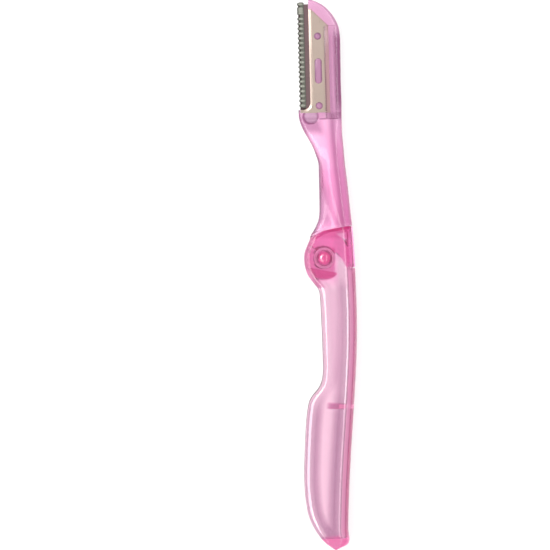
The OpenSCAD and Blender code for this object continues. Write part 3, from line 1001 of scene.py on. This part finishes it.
# A bar's radius, as a share of its greatest, at distances before its back end
bar_shares = [
    (0, 0.74), (0.16, 0.80), (0.35, 0.92), (0.55, 0.98), (0.75, 1), (1.0, 0.985), (1.25, 0.94),
    (1.45, 0.86), (1.62, 0.73), (1.76, 0.55), (1.85, 0.35), (1.9, 0.05)]


def blade_room():
    """Slot through the comb that the blade lies in."""
    outline = box_outline(edge_x - fit, foot_y, fold_x, cap_tooth)
    return slab("blade room", outline, -blade_t / 2 - fit, blade_t / 2 + fit, place_in_head)


def make_tooth(y):
    """One bar, turned about a line across the blade, with the blade's slot through it."""
    def lying_down(p):
        return place_in_head((comb_back - p[2], y + p[0], p[1]))

    profile = [(away, share * tooth_r) for away, share in bar_shares]
    tooth = turned("tooth", profile, lying_down, tooth_around)
    carve(tooth, blade_room())
    return tooth


def moved_copy(piece, along_blade):
    """A copy with its own mesh, moved along the blade."""
    twin = piece.copy()
    twin.data = piece.data.copy()
    bpy.context.collection.objects.link(twin)
    shift = place_in_head((0, along_blade, 0)) - place_in_head((0, 0, 0))
    for vertex in twin.data.vertices:
        vertex.co += shift
    return twin


def make_comb():
    """The band with its row of bars, the close last bars and the end cap."""
    band_box = box_outline(edge_x + band_set, comb_low, comb_back - fit, cap_tooth)
    band = slab("comb", band_box, -band_half, band_half, place_in_head)
    carve(band, blade_room())
    tooth = make_tooth(first_tooth)
    places = [k * tooth_pitch for k in range(1, teeth)]
    last = end_tooth - first_tooth
    places += [last + tooth_pitch * k / close_per_pitch for k in range(close_teeth)]
    places.append(cap_tooth - first_tooth)
    copies = [moved_copy(tooth, y) for y in places]
    only(band)
    for part in copies + [tooth]:
        part.select_set(True)
    bpy.ops.object.join()
    return band


comb = make_comb()
print("comb has", len(comb.data.polygons), "faces")

# %% [markdown]
# ## Blade clip
# The clip is one folded sheet of spring steel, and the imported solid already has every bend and
# hole of it. It could be bent up again from a plate, but a merged copy of that solid is exact,
# and it only lacks the small rounds of a pressed edge, which catch the light along the lip.


# %% Blade clip
def clean_copy(node_name, name):
    """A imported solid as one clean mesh, with its loose triangles merged into flat faces."""
    piece = bpy.data.objects.new(name, frame["nodes"][node_name].data.copy())
    bpy.context.collection.objects.link(piece)
    only(piece)
    bpy.ops.object.mode_set(mode="EDIT")
    bpy.ops.mesh.select_all(action="SELECT")
    bpy.ops.mesh.remove_doubles(threshold=0.001 * mm)
    bpy.ops.mesh.dissolve_limited(angle_limit=math.radians(1))
    bpy.ops.mesh.normals_make_consistent(inside=False)
    bpy.ops.object.mode_set(mode="OBJECT")
    return piece


clip = clean_copy("blade_clip", "clip")
print("clip has", len(clip.data.polygons), "faces")

# %% [markdown]
# ## Softened edges
# No moulded or pressed edge is perfectly sharp. A bevel on the sharp edges alone, a tenth of a
# millimetre wide, gives each one a thin line of light, and the rest is shaded smooth.

# %% Softened edges
smooth_below = 40
# How wide each piece's edge is rounded in millimetres, and the angle that it shades smooth below
edge_rows = [
    (handle, 0.12, smooth_below), (arm, 0.1, smooth_below), (cover, 0.1, smooth_below),
    (cap, 0.08, smooth_below), (clip, 0.05, 1), (pin, 0, smooth_below), (comb, 0, smooth_below)]
for piece, width, crease in edge_rows:
    only(piece)
    if width:
        round_off = piece.modifiers.new("round off", "BEVEL")
        round_off.width = width * mm
        round_off.segments = 2
        round_off.limit_method = "ANGLE"
        round_off.angle_limit = math.radians(smooth_below)
        round_off.harden_normals = False
        bpy.ops.object.modifier_apply(modifier=round_off.name)
    bpy.ops.object.shade_smooth_by_angle(angle=math.radians(crease))
    print(piece.name, "has", len(piece.data.polygons), "faces after rounding")

# %% [markdown]
# ## Depths behind the outline
# The bands in clear plastic follow its outline. A material can't measure how far it is from an
# outline, so each point of the handle and the arm is given that distance once, and the material
# reads it back.


# %% Depths behind the outline
def note_depths(piece, low_side, high_side):
    """Writes each point's distance behind both sides of an outline, in millimetres."""
    first = piece.data.attributes.new("left_depth", "FLOAT", "POINT")
    second = piece.data.attributes.new("right_depth", "FLOAT", "POINT")
    for i, vertex in enumerate(piece.data.vertices):
        point = (vertex.co - hinge) / mm
        first.data[i].value = point.x - smooth(low_side, point.y)
        second.data[i].value = smooth(high_side, point.y) - point.x
    print(piece.name, "has depths on", len(piece.data.vertices), "points")


note_depths(handle, handle_open, handle_spine)
note_depths(arm, arm_left, arm_right)

# %% [markdown]
# ## Places in the materials
# Every band of the plastic lies at a height above the hinge axis, at a depth behind an outline
# or at a distance from the axis. These helpers turn a point on the piece into such a number.
# Several bands ask for the same one, so each is made once in a material and then shared, which
# keeps the graph small. The heights are in one table, so that each zone has a name.


# %% Shared places
def shared(make):
    """Makes a signal once in each material, however often it is asked for."""
    def ask(f, *place):
        key = (make, *place)
        if key not in f.made:
            f.made[key] = make(f, *place)
        return f.made[key]

    return ask


@shared
def along(f):
    """Height above the hinge axis in millimetres."""
    return f.on_object().part("Y") - hinge.y / mm


@shared
def aside(f):
    """Distance to the right of the hinge axis in millimetres."""
    return f.on_object().part("X") - hinge.x / mm


@shared
def behind(f, name):
    """Distance in millimetres behind one side of the outline, from the piece's own attribute."""
    return f.add("Attribute", {"attribute_name": name + "_depth"}, out="Fac")


@shared
def from_axis(f, right=0.0, up=0.0):
    """Distance in millimetres from the hinge axis, or from a place right and up of it."""
    return f.on_object().times((1, 1, 0)).apart((hinge.x / mm + right, hinge.y / mm + up, 0))


print("places that a finish can ask for are ready")

# %% Zones
# Height in millimetres where each zone begins, then where it is full, once for each end
zones = {
    "tip": [(-77.3, -78.6)], "end of tip": [(-79.8, -80.9)], "upper grip": [(-45, -36)],
    "round end": [(-9.0, -4.5)], "heel": [(-2.5, -4.5), (-8.8, -7.6)], "knuckle": [(3.6, 1.8)],
    "under seam": [(4.9, 6.2)], "beside tail": [(-3.6, -2.8)], "below pin": [(0.5, -1.5)],
    "polished grip": [(-7.2, -9.4)], "above tip": [(-78.4, -77.0)], "polished spine": [(-46, -38)],
    "milky root": [(-1.0, -4.0), (-78.6, -77.2)], "milky shank": [(5.5, 8), (31, 27)],
    "low shank": [(8, 11), (23, 18)], "pale neck": [(23, 27.5), (36.2, 33.8)],
    "dark neck": [(33.8, 36.5), (40, 38)], "below head": [(42, 40)], "head": [(37, 45)],
    "polished head": [(38, 46)], "top": [(61, 65)]}


@shared
def zone(f, name):
    """1 inside a zone of the razor and 0 outside it."""
    shares = [along(f).step(begins, full) for begins, full in zones[name]]
    return shares[0] * shares[1] if len(shares) > 1 else shares[0]


print("zones of the razor:", len(zones))

# %% Seam and head
# How far each kind of ramp reaches, in millimetres
seam_span = (-4, 8)
handle_span = 14
arm_span = 10
axis_span = 8
mark_span = 4


@shared
def over_seam(f):
    """Height in millimetres above the seam, from a ramp in tenths, as its levels end at 1."""
    tenths = [(x * handle_w, y * handle_reach / 10) for x, y in seam_shares[1:-1]]
    return along(f) - aside(f).ramp(seam_span[1], tenths, seam_span[0]) * 10.0


@shared
def in_head(f, squash=(1, 1, 0)):
    """The point in the leaning head's own frame, in millimetres, flattened or stretched by squash."""
    back = Matrix.Rotation(-head_lean, 3, "Z")
    turned_point = f.add("Mapping", {}, {
        "Vector": f.add("TexCoord", out="Object"), "Location": -(back @ (hinge / mm + head_o)),
        "Rotation": (0, 0, -head_lean), "Scale": (1 / mm, 1 / mm, 1 / mm)})
    return turned_point.times(squash)


print("ramps reach", handle_span, "mm into the handle and", arm_span, "mm into the arm")

# %% [markdown]
# ## Clear pink plastic
# Clear coloured plastic is pale where it is thin and deep where light goes a long way through
# it. A volume that absorbs green gives that, and a thin coat gives the polish. A surface tint
# adds what the volume can't give: deep is mostly painted shade, pale is painted light, hot is
# strong pink and the rim is a painted outline. A plain milky surface is mixed in at some places,
# partly in the painted shade's colour and partly as painted light.

# %% Clear pink plastic
# Light pink of the milky surface where it is painted light
painted_light_pink = (1, 0.42, 0.70, 1)
# The grain's usual range, and how many times the roughness it makes there
grain_range = (0.3, 0.7)
rough_range = (0.6, 1.6)
# How far a face is turned from the eye where the painted outline begins and is full
outline_shade_range = (0.22, 0.62)


def clear_pink(name, tint, rim, absorbed, density, bands=None, gloss=0.3, milk=None,
               deep=white, hot=white, pale=white, cloud=white, roughness=0.03, coat_rough=0.03):
    """Moulded clear plastic that takes its colour from the depth that light goes through.

    Bands are the functions of the deep, hot and pale shares: deep is mostly painted shade, pale
    is painted light and the rim colour is a painted outline. Milk gives the share of the surface
    that is a lit milky colour, and the share of that which is painted light.
    """
    f = Finish(name)
    ripple = f.bump(f.noise(f.on_object((1, 0.25, 1)), size=3.0), distance=0.02, strength=0.35)
    grain = f.noise(f.on_object(), size=0.5, detail=3.0)
    smoothest, roughest = (roughness * times for times in rough_range)
    rough = f.add("MapRange", {}, {
        0: grain, 1: grain_range[0], 2: grain_range[1], 3: smoothest, 4: roughest})
    # Painted outline: faces turned from the eye take the rim colour, which stands in for light bent at
    # the edges
    outline_shade_share = f.add("LayerWeight", {}, {"Blend": 0.5}, out="Facing").step(*outline_shade_range)
    base = tint
    if bands:
        # Deep is mostly painted shade, pale is painted light and hot is strong pink
        deep_share, hot_share, painted_light_band = (band(f) for band in bands)
        base = f.blend(hot_share, f.blend(deep_share, f.blend(painted_light_band, tint, pale), deep), hot)
    surface = f.add("BsdfPrincipled", {}, {
        "Base Color": f.blend(outline_shade_share, base, rim), "Roughness": rough, "IOR": 1.5,
        "Transmission Weight": 1.0, "Coat Weight": gloss(f) if callable(gloss) else gloss,
        "Coat IOR": 1.8, "Coat Roughness": coat_rough, "Normal": ripple})
    if milk:
        # The milky surface takes the painted shade's colour where deep lies, and the painted light pink
        # by its second share
        share, painted_light_in_milk = milk(f)
        dull = f.blend(painted_light_in_milk, f.blend(deep_share, cloud, deep), painted_light_pink)
        cloudy = f.add("BsdfPrincipled", {}, {"Base Color": dull, "Roughness": 0.3, "Normal": ripple})
        surface = f.mix_shaders(share, surface, cloudy)
    body = f.add("VolumeAbsorption", {}, {"Color": absorbed, "Density": density})
    return f.output(surface, body)


def no_band(f):
    """A band that the piece hasn't got."""
    return 0.0


print("clear plastic is ready")

# %% [markdown]
# ## Bands of the handle
# The handle shows bands along its outline: painted shade beside the open edge and where the
# spine begins, and strong pink along the spine itself. They could be painted on the mesh point
# by point, but a rule is sharper and follows any change of the outline. So each band is a row
# of levels at depths behind the outline, and a zone says where along the handle it is seen.


# %% Handle's painted shade
@shared
def calm(f):
    """The bands are weaker over the round end, where the walls part."""
    return 1.0 - zone(f, "round end") * 0.6


@shared
def rib_lines(f):
    """Faint lines of painted shade over the rib, from the spine's root to the middle of the channel."""
    right = behind(f, "right")
    from_rib = along(f).off(rib_middle)
    lines = from_rib.ramp(mark_span, [(0, 0.6), (0.3, 0.5), (0.5, 1.0), (0.75, 0)])
    return lines * right.step(7.5, 6.5) * right.step(1.6, 2.8)


@shared
def solid_tip(f):
    """The solid tip in painted shade, deepest along its rim."""
    rim = behind(f, "left").ramp(handle_span, [(0, 0.6), (0.8, 0.5), (1.8, 0)])
    return (rim + zone(f, "end of tip") * 0.5 + 1.0) * zone(f, "tip")


def handle_painted_shade(f):
    """Painted shade beside the open edge, where the spine begins, over the rib and at the tip."""
    upper = zone(f, "upper grip")
    open_edge = behind(f, "left").ramp(handle_span, [
        (0, 0), (1.7, 0.2), (2.8, 0.9), (3.8, 0.7), (5.0, 0.0)])
    spine_foot = behind(f, "right").ramp(handle_span, [
        (0, 0.2), (1.0, 0.2), (1.6, 0.1), (2.4, 0.4), (3.1, 0.75), (4.2, 1.0), (5.2, 0.6),
        (6.2, 0.1), (7, 0.0)])
    edges = open_edge * (1.0 - upper * 0.7) + spine_foot * (1.0 - upper * 0.3)
    return edges * calm(f) + rib_lines(f) + solid_tip(f)


print("the tip's wall is", tip_wall, "mm thick")


# %% Handle's hot bands and painted light
@shared
def heel(f):
    """Strong colour as painted shade inside the round end's lower left rim."""
    return behind(f, "left").ramp(handle_span, [(0, 0.8), (1.4, 0.7), (2.6, 0)]) * zone(f, "heel")


def spine_colour(f):
    """Strong colour along the spine, which becomes two lines beside the arm's tail."""
    right = behind(f, "right")
    wall = right.ramp(handle_span, [(0, 1.0), (0.5, 0.7), (1.1, 1.0), (1.6, 0.5), (2.2, 0.1), (2.6, 0)])
    lines = right.ramp(handle_span, [
        (0, 0.6), (0.5, 0.6), (0.8, 0), (1.5, 0), (1.8, 0.7), (2.3, 0.7), (2.7, 0)])
    beside_tail = zone(f, "beside tail")
    return wall * calm(f) * (1.0 - beside_tail) + lines * beside_tail


def round_end_painted_shade(f):
    """Painted shade in strong colour round the hinge: the rim, the knuckle, the pin's recess and the
    seam.
    """
    away = from_axis(f)
    rim = behind(f, "left").ramp(handle_span, [(0, 0.6), (0.8, 0.5), (1.4, 0.3), (2.4, 0)])
    knuckle = away.step(6.4, 5.6) * zone(f, "knuckle") * aside(f).step(3.4, 2.6)
    recess = away.ramp(axis_span, [(0, 0), (2.35, 0), (2.6, 0.15), (2.9, 0.15), (3.2, 0)])
    seam = zone(f, "under seam") * 0.3 + over_seam(f).off(-0.4).step(0.6, 0.2)
    return rim * zone(f, "round end") + knuckle * 0.6 + recess + seam + heel(f) * 0.9


def handle_hot(f):
    """Strong colour along the spine and in flecks at the tip, and painted shade at the rib and round the
    hinge.
    """
    flecks = f.noise(f.on_object(), size=0.8) * 1.6 - 0.05
    tip = zone(f, "tip") * flecks * (1.0 - solid_tip(f) * 0.4)
    return spine_colour(f) + tip + round_end_painted_shade(f) + rib_lines(f) * 0.6


def handle_painted_light(f):
    """Painted light: the round end is paler, but not in the streak beside the spine or round the pin."""
    streak = behind(f, "right").ramp(handle_span, [(0, 0), (2.3, 0), (2.9, 1), (4.4, 1), (5.6, 0)])
    beside_pin = from_axis(f).step(2.5, 2.3) * 0.5
    return zone(f, "round end") * (1.0 - streak * zone(f, "below pin")) * (1.0 - beside_pin)


print("the round end begins", -zones["round end"][0][0], "mm below the hinge axis")


# %% Handle's polish and milk
def handle_gloss(f):
    """Polish along both sides, which holds the long white streaks."""
    open_side = behind(f, "left").ramp(handle_span, [(0, 0.7), (0.7, 1.0), (2.2, 1.0), (2.8, 0.1)])
    spine_side = behind(f, "right").ramp(handle_span, [(0, 0.2), (2.2, 0.9), (3.6, 0.9), (4.2, 0.0)])
    grip = zone(f, "polished grip")
    sides = open_side * (grip * 0.95 + 0.05) + spine_side * zone(f, "polished spine") * grip
    return sides * zone(f, "above tip")


def handle_milk(f):
    """A milky surface along the spine's thick root, in the rim and at the heel, and as painted light in
    the walls round the pin.
    """
    root = behind(f, "right").ramp(handle_span, [
        (0, 0.1), (0.9, 0.2), (1.25, 0.8), (2.1, 0.8), (2.4, 0.05), (3, 0.02)])
    rim = behind(f, "left").ramp(handle_span, [(0, 0.6), (0.5, 0.5), (1.6, 0)])
    walls = from_axis(f).ramp(axis_span, [
        (0, 0.6), (1.2, 0.6), (1.3, 0), (2.2, 0), (2.28, 0.4), (2.45, 0.4), (2.5, 0), (2.68, 0.4),
        (2.85, 0.4), (2.95, 0)])
    milky = root * zone(f, "milky root") + rim * zone(f, "round end") + walls + heel(f) * 0.4
    return milky + 0.02, from_axis(f).step(2.95, 2.9)


# Deep is the painted shade's mauve, hot is strong pink and pale is the painted light's pink
pink_handle = clear_pink(
    "clear pink handle", tint=(0.99, 0.95, 0.97, 1), rim=(0.86, 0.42, 0.64, 1),
    absorbed=(0.99, 0.40, 0.70, 1), density=190, bands=(handle_painted_shade, handle_hot, handle_painted_light),
    gloss=handle_gloss, milk=handle_milk, deep=(0.71, 0.57, 0.67, 1), hot=(0.80, 0.30, 0.56, 1),
    pale=(1, 0.81, 0.93, 1), cloud=(0.74, 0.28, 0.48, 1))
print("nodes in the handle's finish:", len(pink_handle.node_tree.nodes))

# %% [markdown]
# ## Marks in the head
# The pegs and the key look darker because light falls down into them and is lost; that darkness
# is painted shade, like the relief's dark wall below the clip's foot and the lines along the
# cover's low end and under the foot. These are rings and lines at known places in the head.

# %% Marks in the head
peg_tones = [(0, 0.55), (0.45, 0.55), (0.8, 0.9), (1.3, 0.9), (1.35, 0)]
tone_span = 2
key_line = (1, 0.001, 0)
relief_tones = [(0, 0.13), (1.3, 0.15), (1.65, 0.25), (1.95, 0.6), (2.15, 0.6), (2.35, 0.0)]
low_line_middle = 2.5


def in_peg(f):
    """1 over the pegs and the key that stand up through the clip."""
    point = in_head(f, (1, 1, 1))
    away = f.add("VectorMath", {"operation": "ABSOLUTE"}, {0: point})
    reach = peg_span / 2 + peg_hole_r
    beside = away.part("X").step(1.2, 1.1) * away.part("Y").step(reach + 0.1, reach)
    return beside * point.part("Z").step(0.0, clip_out)


def head_shade_marks(f):
    """Painted shade in the pegs and the key, round the relief below the clip's foot, along the cover's
    low end and under the foot.
    """
    point = in_head(f)
    low_peg, high_peg = (point.apart((0, y, 0)).ramp(tone_span, peg_tones) for y in peg_rows)
    key = point.times(key_line).apart((0, 0, 0)).ramp(tone_span, peg_tones)
    key_ends = point.part("Y").off(0).step(4.0, 3.7)
    relief = point.apart((lip_x, relief_y, 0)).ramp(mark_span, relief_tones)
    low_line = point.part("Y").off(cover_low).step(0.2, 0.1)
    low_line = low_line * point.part("X").off(low_line_middle).step(2.45, 2.35) * 0.6
    under_foot = point.part("Y").off((cover_low + foot_y) / 2).step(1.2, 0.7) * 0.25
    return low_peg + high_peg + key * key_ends + relief + low_line + under_foot


print("marks in the head at heights", peg_rows)

# %% [markdown]
# ## Bands of the arm
# The arm is solid, so the light that bends through its rounded sides makes bands, painted on
# as painted shade and painted light. They change from the shank to the head and again at the
# top, so three rows are mixed by height.


# %% Arm's painted shade
def right_side_shade(f):
    """Painted shade beside the arm's right side, along the shank, the head and the top."""
    right = behind(f, "right")
    head_side = right.ramp(arm_span, [
        (0, 0.9), (0.4, 1.0), (0.9, 1.0), (1.35, 1.0), (1.7, 0.7), (2.1, 0.3), (2.6, 0.5),
        (3.3, 0.58), (4.5, 0.3), (6.0, 0.12)])
    shank_side = right.ramp(arm_span, [
        (0, 0.9), (0.3, 0.6), (0.6, 0.45), (1.1, 0.25), (1.65, 0.22), (2.1, 0.45), (2.6, 0.62),
        (3.0, 0.55), (3.5, 0.25), (4.2, 0.05), (5.0, 0.0)])
    top_side = right.ramp(arm_span, [(0, 1.0), (0.5, 0.7), (1.1, 0.3), (10, 0.3)])
    return zone(f, "top").mix(zone(f, "head").mix(shank_side, head_side), top_side)


def arm_painted_shade(f):
    """Painted shade along both sides, in the neck and low on the shank, and at the marks."""
    left = behind(f, "left")
    left_side = left.ramp(arm_span, [(0, 1.0), (0.35, 0.8), (0.6, 0.35), (1.0, 0.1), (2.0, 0.0)])
    neck = left.ramp(arm_span, [(0, 0.3), (0.8, 0.35), (1.6, 0.5), (4.6, 0.45), (5.6, 0.15), (6.6, 0)])
    low = left.ramp(arm_span, [(0, 0.2), (1.0, 0.3), (2.6, 0.28), (3.6, 0.1), (4.4, 0)])
    shades = neck * zone(f, "dark neck") + low * zone(f, "low shank")
    return (right_side_shade(f) + left_side + shades + head_shade_marks(f)) * outside(f)


@shared
def outside(f):
    """1 above the seam, where the arm is outside the handle."""
    return over_seam(f).step(-0.3, 0.3)


print("seam runs at", round(seam_shares[4][1] * handle_reach, 2), "mm above the hinge axis")


# %% Arm's painted light, polish and milk
@shared
def hub_share(f):
    """1 over the hub round the pin."""
    return from_axis(f).step(2.8, 2.6)


def arm_hot(f):
    """The tongue between the cheeks has its own pink, apart from its hub."""
    return (1.0 - outside(f)) * (1.0 - hub_share(f))


def arm_painted_light(f):
    """Painted light: paler in the neck, in a streak along the shank, at the top, on the hem and on the
    hub.
    """
    neck = behind(f, "left").ramp(arm_span, [
        (0, 0), (0.6, 0), (1.3, 1), (3.4, 1), (4.4, 0.4), (5.6, 0)])
    streak = behind(f, "right").ramp(arm_span, [
        (0, 0), (3.1, 0), (3.9, 0.5), (4.9, 0.5), (5.8, 0.1), (6.4, 0)])
    hem = over_seam(f).ramp(mark_span, [(0, 0), (0.25, 0.8), (0.7, 0.8), (1.1, 0)])
    pale = neck * zone(f, "pale neck") + streak * zone(f, "below head") + zone(f, "top") * 0.45
    return (pale + hem) * outside(f) + hub_share(f)


def arm_gloss(f):
    """The head is more polished than the shank."""
    return zone(f, "polished head") * 0.24 + 0.05


def arm_milk(f):
    """A milky surface over the pegs, in the shank's thin side and in the hub's wall, dark where it takes
    the painted shade's colour.
    """
    thin_side = behind(f, "left").ramp(arm_span, [(0, 0.6), (0.7, 0.5), (1.2, 0.0)])
    hub_wall = from_axis(f).ramp(axis_span, [(0, 0), (2.85, 0), (2.92, 0.5), (3.08, 0.5), (3.15, 0)])
    pegs = in_peg(f).ramp(1, [(0, 0.04), (1, 0.6)])
    return pegs + thin_side * zone(f, "milky shank") + hub_wall, 0.0


# Deep is the painted shade's dark pink and pale is the painted light's near white
pink_arm = clear_pink(
    "clear pink arm", tint=(0.90, 0.76, 0.87, 1), rim=(0.40, 0.15, 0.26, 1),
    absorbed=(0.99, 0.38, 0.76, 1), density=235, bands=(arm_painted_shade, arm_hot, arm_painted_light),
    gloss=arm_gloss, milk=arm_milk, deep=(0.30, 0.14, 0.25, 1), hot=(1, 0.80, 0.92, 1),
    pale=(1, 0.99, 1, 1), cloud=(0.80, 0.42, 0.62, 1), roughness=0.12, coat_rough=0.14)
print("nodes in the arm's finish:", len(pink_arm.node_tree.nodes))

# %% [markdown]
# ## Cover, cap and pin
# The cover is the same plastic with a row of fine dots where it was pressed on, and the cap is
# plain. The pin's plastic is so deep in colour that hardly any light comes through, so it needs
# no volume: it is nearly opaque, and polished in one small place on its dome.

# %% Cover, cap and pin finishes
dot_pitch = 0.66
# Where the pin's dome is polished, right and up of its axis, and how far out it begins and is full
polish_at = (-1.0, 0.2)
polish_range = (0.55, 0.3)
# How far from the axis the painted shade on the dome's rim begins and is full
pin_rim_shade_range = (1.15, 1.45)


def cover_deep(f):
    """A row of fine dots along the cover's inner edge, where the strip under it is pressed."""
    point = in_head(f, (1, 1, 1))
    wave_place = point.part("Y") * (2 * math.pi / dot_pitch)
    wave = f.add("Math", {"operation": "SINE"}, {0: wave_place})
    line = point.part("X").off(cover_x + 0.3).step(0.2, 0.12)
    edge = point.part("X").off(cover_x).step(0.12, 0.05)
    return line * wave.step(-0.3, 0.5) * 0.8 + edge * 0.5


def deep_pink(name, colour, dark):
    """Plastic so deep in colour that hardly any light comes through, polished on its dome."""
    f = Finish(name)
    swirl = f.noise(f.on_object(), size=0.9)
    # The colour darkens towards the dome's rim as painted shade
    edge = from_axis(f).step(*pin_rim_shade_range)
    polish = from_axis(f, *polish_at).step(*polish_range) * 0.85 + 0.15
    return f.output(f.add("BsdfPrincipled", {}, {
        "Base Color": f.blend(swirl * 0.3 + edge * 0.4, colour, dark), "Roughness": swirl * 0.06 + 0.04,
        "IOR": 1.5, "Transmission Weight": 0.15, "Coat Weight": polish, "Coat IOR": 2.4,
        "Coat Roughness": 0.03, "Normal": f.bump(swirl, distance=0.01, strength=0.3)}))


pink_cover = clear_pink(
    "clear pink cover", tint=(0.97, 0.88, 0.94, 1), rim=(0.55, 0.28, 0.42, 1),
    absorbed=(0.99, 0.38, 0.76, 1), density=210, bands=(cover_deep, no_band, no_band), gloss=0.05,
    deep=(0.34, 0.25, 0.27, 1), roughness=0.12, coat_rough=0.14)
pink_cap = clear_pink(
    "clear pink cap", tint=(0.98, 0.80, 0.90, 1), rim=(0.80, 0.30, 0.50, 1),
    absorbed=(0.98, 0.30, 0.60, 1), density=200)
pink_pin = deep_pink("deep pink pin", (0.80, 0.10, 0.31, 1), (0.72, 0.09, 0.29, 1))
print("dots on the cover:", round((clip_corner - cover_low) / dot_pitch))

# %% [markdown]
# ## Steel
# Rolled steel has fine lines along one direction. A noise stretched that way gives them, in the
# colour, in the roughness and in the bump at once. The lip is darker low down and on its inner
# half as painted shade, and the blade's dark brown is painted shade, darker still where it lies
# in the comb's own shade.

# %% Steel
line_shade = 0.82
# Share of its colour that painted shade leaves
painted_shade_level = 0.3


def shade_of(colour, share):
    return tuple(level * share for level in colour[:3]) + (1,)


def steel(name, colour, roughness, stretch, painted_shade):
    """Rolled or ground steel with fine lines along one direction, darker where shade is painted on."""
    f = Finish(name)
    lines = f.noise(f.on_object(stretch), size=0.08)
    patches = f.noise(f.on_object(), size=4.0)
    tone = f.blend(patches * 0.5 + lines * 0.3, colour, shade_of(colour, line_shade))
    return f.output(f.add("BsdfPrincipled", {}, {
        "Base Color": f.blend(painted_shade(f), tone, shade_of(colour, painted_shade_level)), "Metallic": 1.0,
        "Roughness": lines * 0.12 + roughness, "Normal": f.bump(lines, distance=0.004, strength=0.5)}))


def lip_painted_shade(f):
    """How far the rolled lip is darkened by painted shade: more low down, and most on its inner half."""
    point = in_head(f, (1, 1, 1))
    from_lip = point.part("X") - lip_x
    up_blade = point.part("Y")
    across = from_lip.ramp(2, [(0, 0.6), (0.28, 0.6), (0.40, 0.95), (lip_w - 0.03, 0.95), (lip_w, 0)])
    on_lip = from_lip.step(-0.1, 0.0) * up_blade.step(foot_y + 1.0, foot_y + 2.2)
    return across * (1.0 - up_blade.step(2, 12) * 0.45) * on_lip


def under_comb(f):
    """The blade is in the comb's own shade up to the comb's back."""
    return in_head(f).part("X").step(comb_back + 0.1, comb_back - 0.1)


clip_steel = steel("clip steel", (0.75, 0.60, 0.515, 1), 0.24, (1, 0.05, 1), lip_painted_shade)
# The blade's dark brown is painted shade on the strip between the comb and the lip
blade_steel = steel("blade steel", (0.29, 0.19, 0.20, 1), 0.24, (0.05, 1, 1), under_comb)
print("nodes in the clip's finish:", len(clip_steel.node_tree.nodes))

# %% [markdown]
# ## Grey plastic
# The comb's bars have a painted highlight on their crowns and painted shade in the grooves. The
# height of a point says which it is, with a little grain so that the border isn't a clean line.


# %% Grey plastic
def grey_plastic(name, light, dark):
    """Moulded grey plastic with a painted highlight on the bars' crowns and painted shade in the grooves.
    """
    f = Finish(name)
    grain = f.noise(f.on_object(), size=0.15, detail=3.0)
    height = f.on_object().part("Z") - (hinge.z / mm + head_o.z)
    # Painted highlight on the crowns and painted shade in the grooves, by height
    crown = (height + grain * 0.1).step(0.45, 0.66)
    return f.output(f.add("BsdfPrincipled", {}, {
        "Base Color": f.blend(crown, dark, light), "Roughness": grain * 0.15 + 0.3,
        "Normal": f.bump(grain, distance=0.01, strength=0.4)}))


comb_grey = grey_plastic("comb grey", (0.34, 0.35, 0.29, 1), (0.075, 0.08, 0.062, 1))
print("nodes in the comb's finish:", len(comb_grey.node_tree.nodes))

# %% [markdown]
# ## Dressing the pieces
# Each piece rides on a body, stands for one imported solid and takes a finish. The solid that it
# stands for gets the same finish, and the blade's own solid is shown as it is, in ground steel.


# %% Dressing the pieces
def dress(piece, material):
    piece.data.materials.clear()
    piece.data.materials.append(material)


for piece, body, node, slot, material in (
        (handle, "handle", "handle_shell", "clear_pink", pink_handle),
        (arm, "arm", "arm_body", "clear_pink", pink_arm),
        (cover, "arm", "head_cover", "clear_pink", pink_cover),
        (clip, "arm", "blade_clip", "clip_steel", clip_steel),
        (comb, "arm", "comb_guard", "comb_grey", comb_grey),
        (pin, "handle", "hinge_pin", "pin_pink", pink_pin),
        (cap, "handle", "pin_cap", "pin_pink", pink_cap)):
    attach(piece, body)
    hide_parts(node)
    dress(piece, material)
    dress(frame["nodes"][node], material)
    print(piece.name, "rides on", body)
dress(frame["nodes"]["blade"], blade_steel)

# %% [markdown]
# ## View transform
# The picture uses the standard view transform.

# %% View transform
bpy.context.scene.view_settings.view_transform = "Standard"
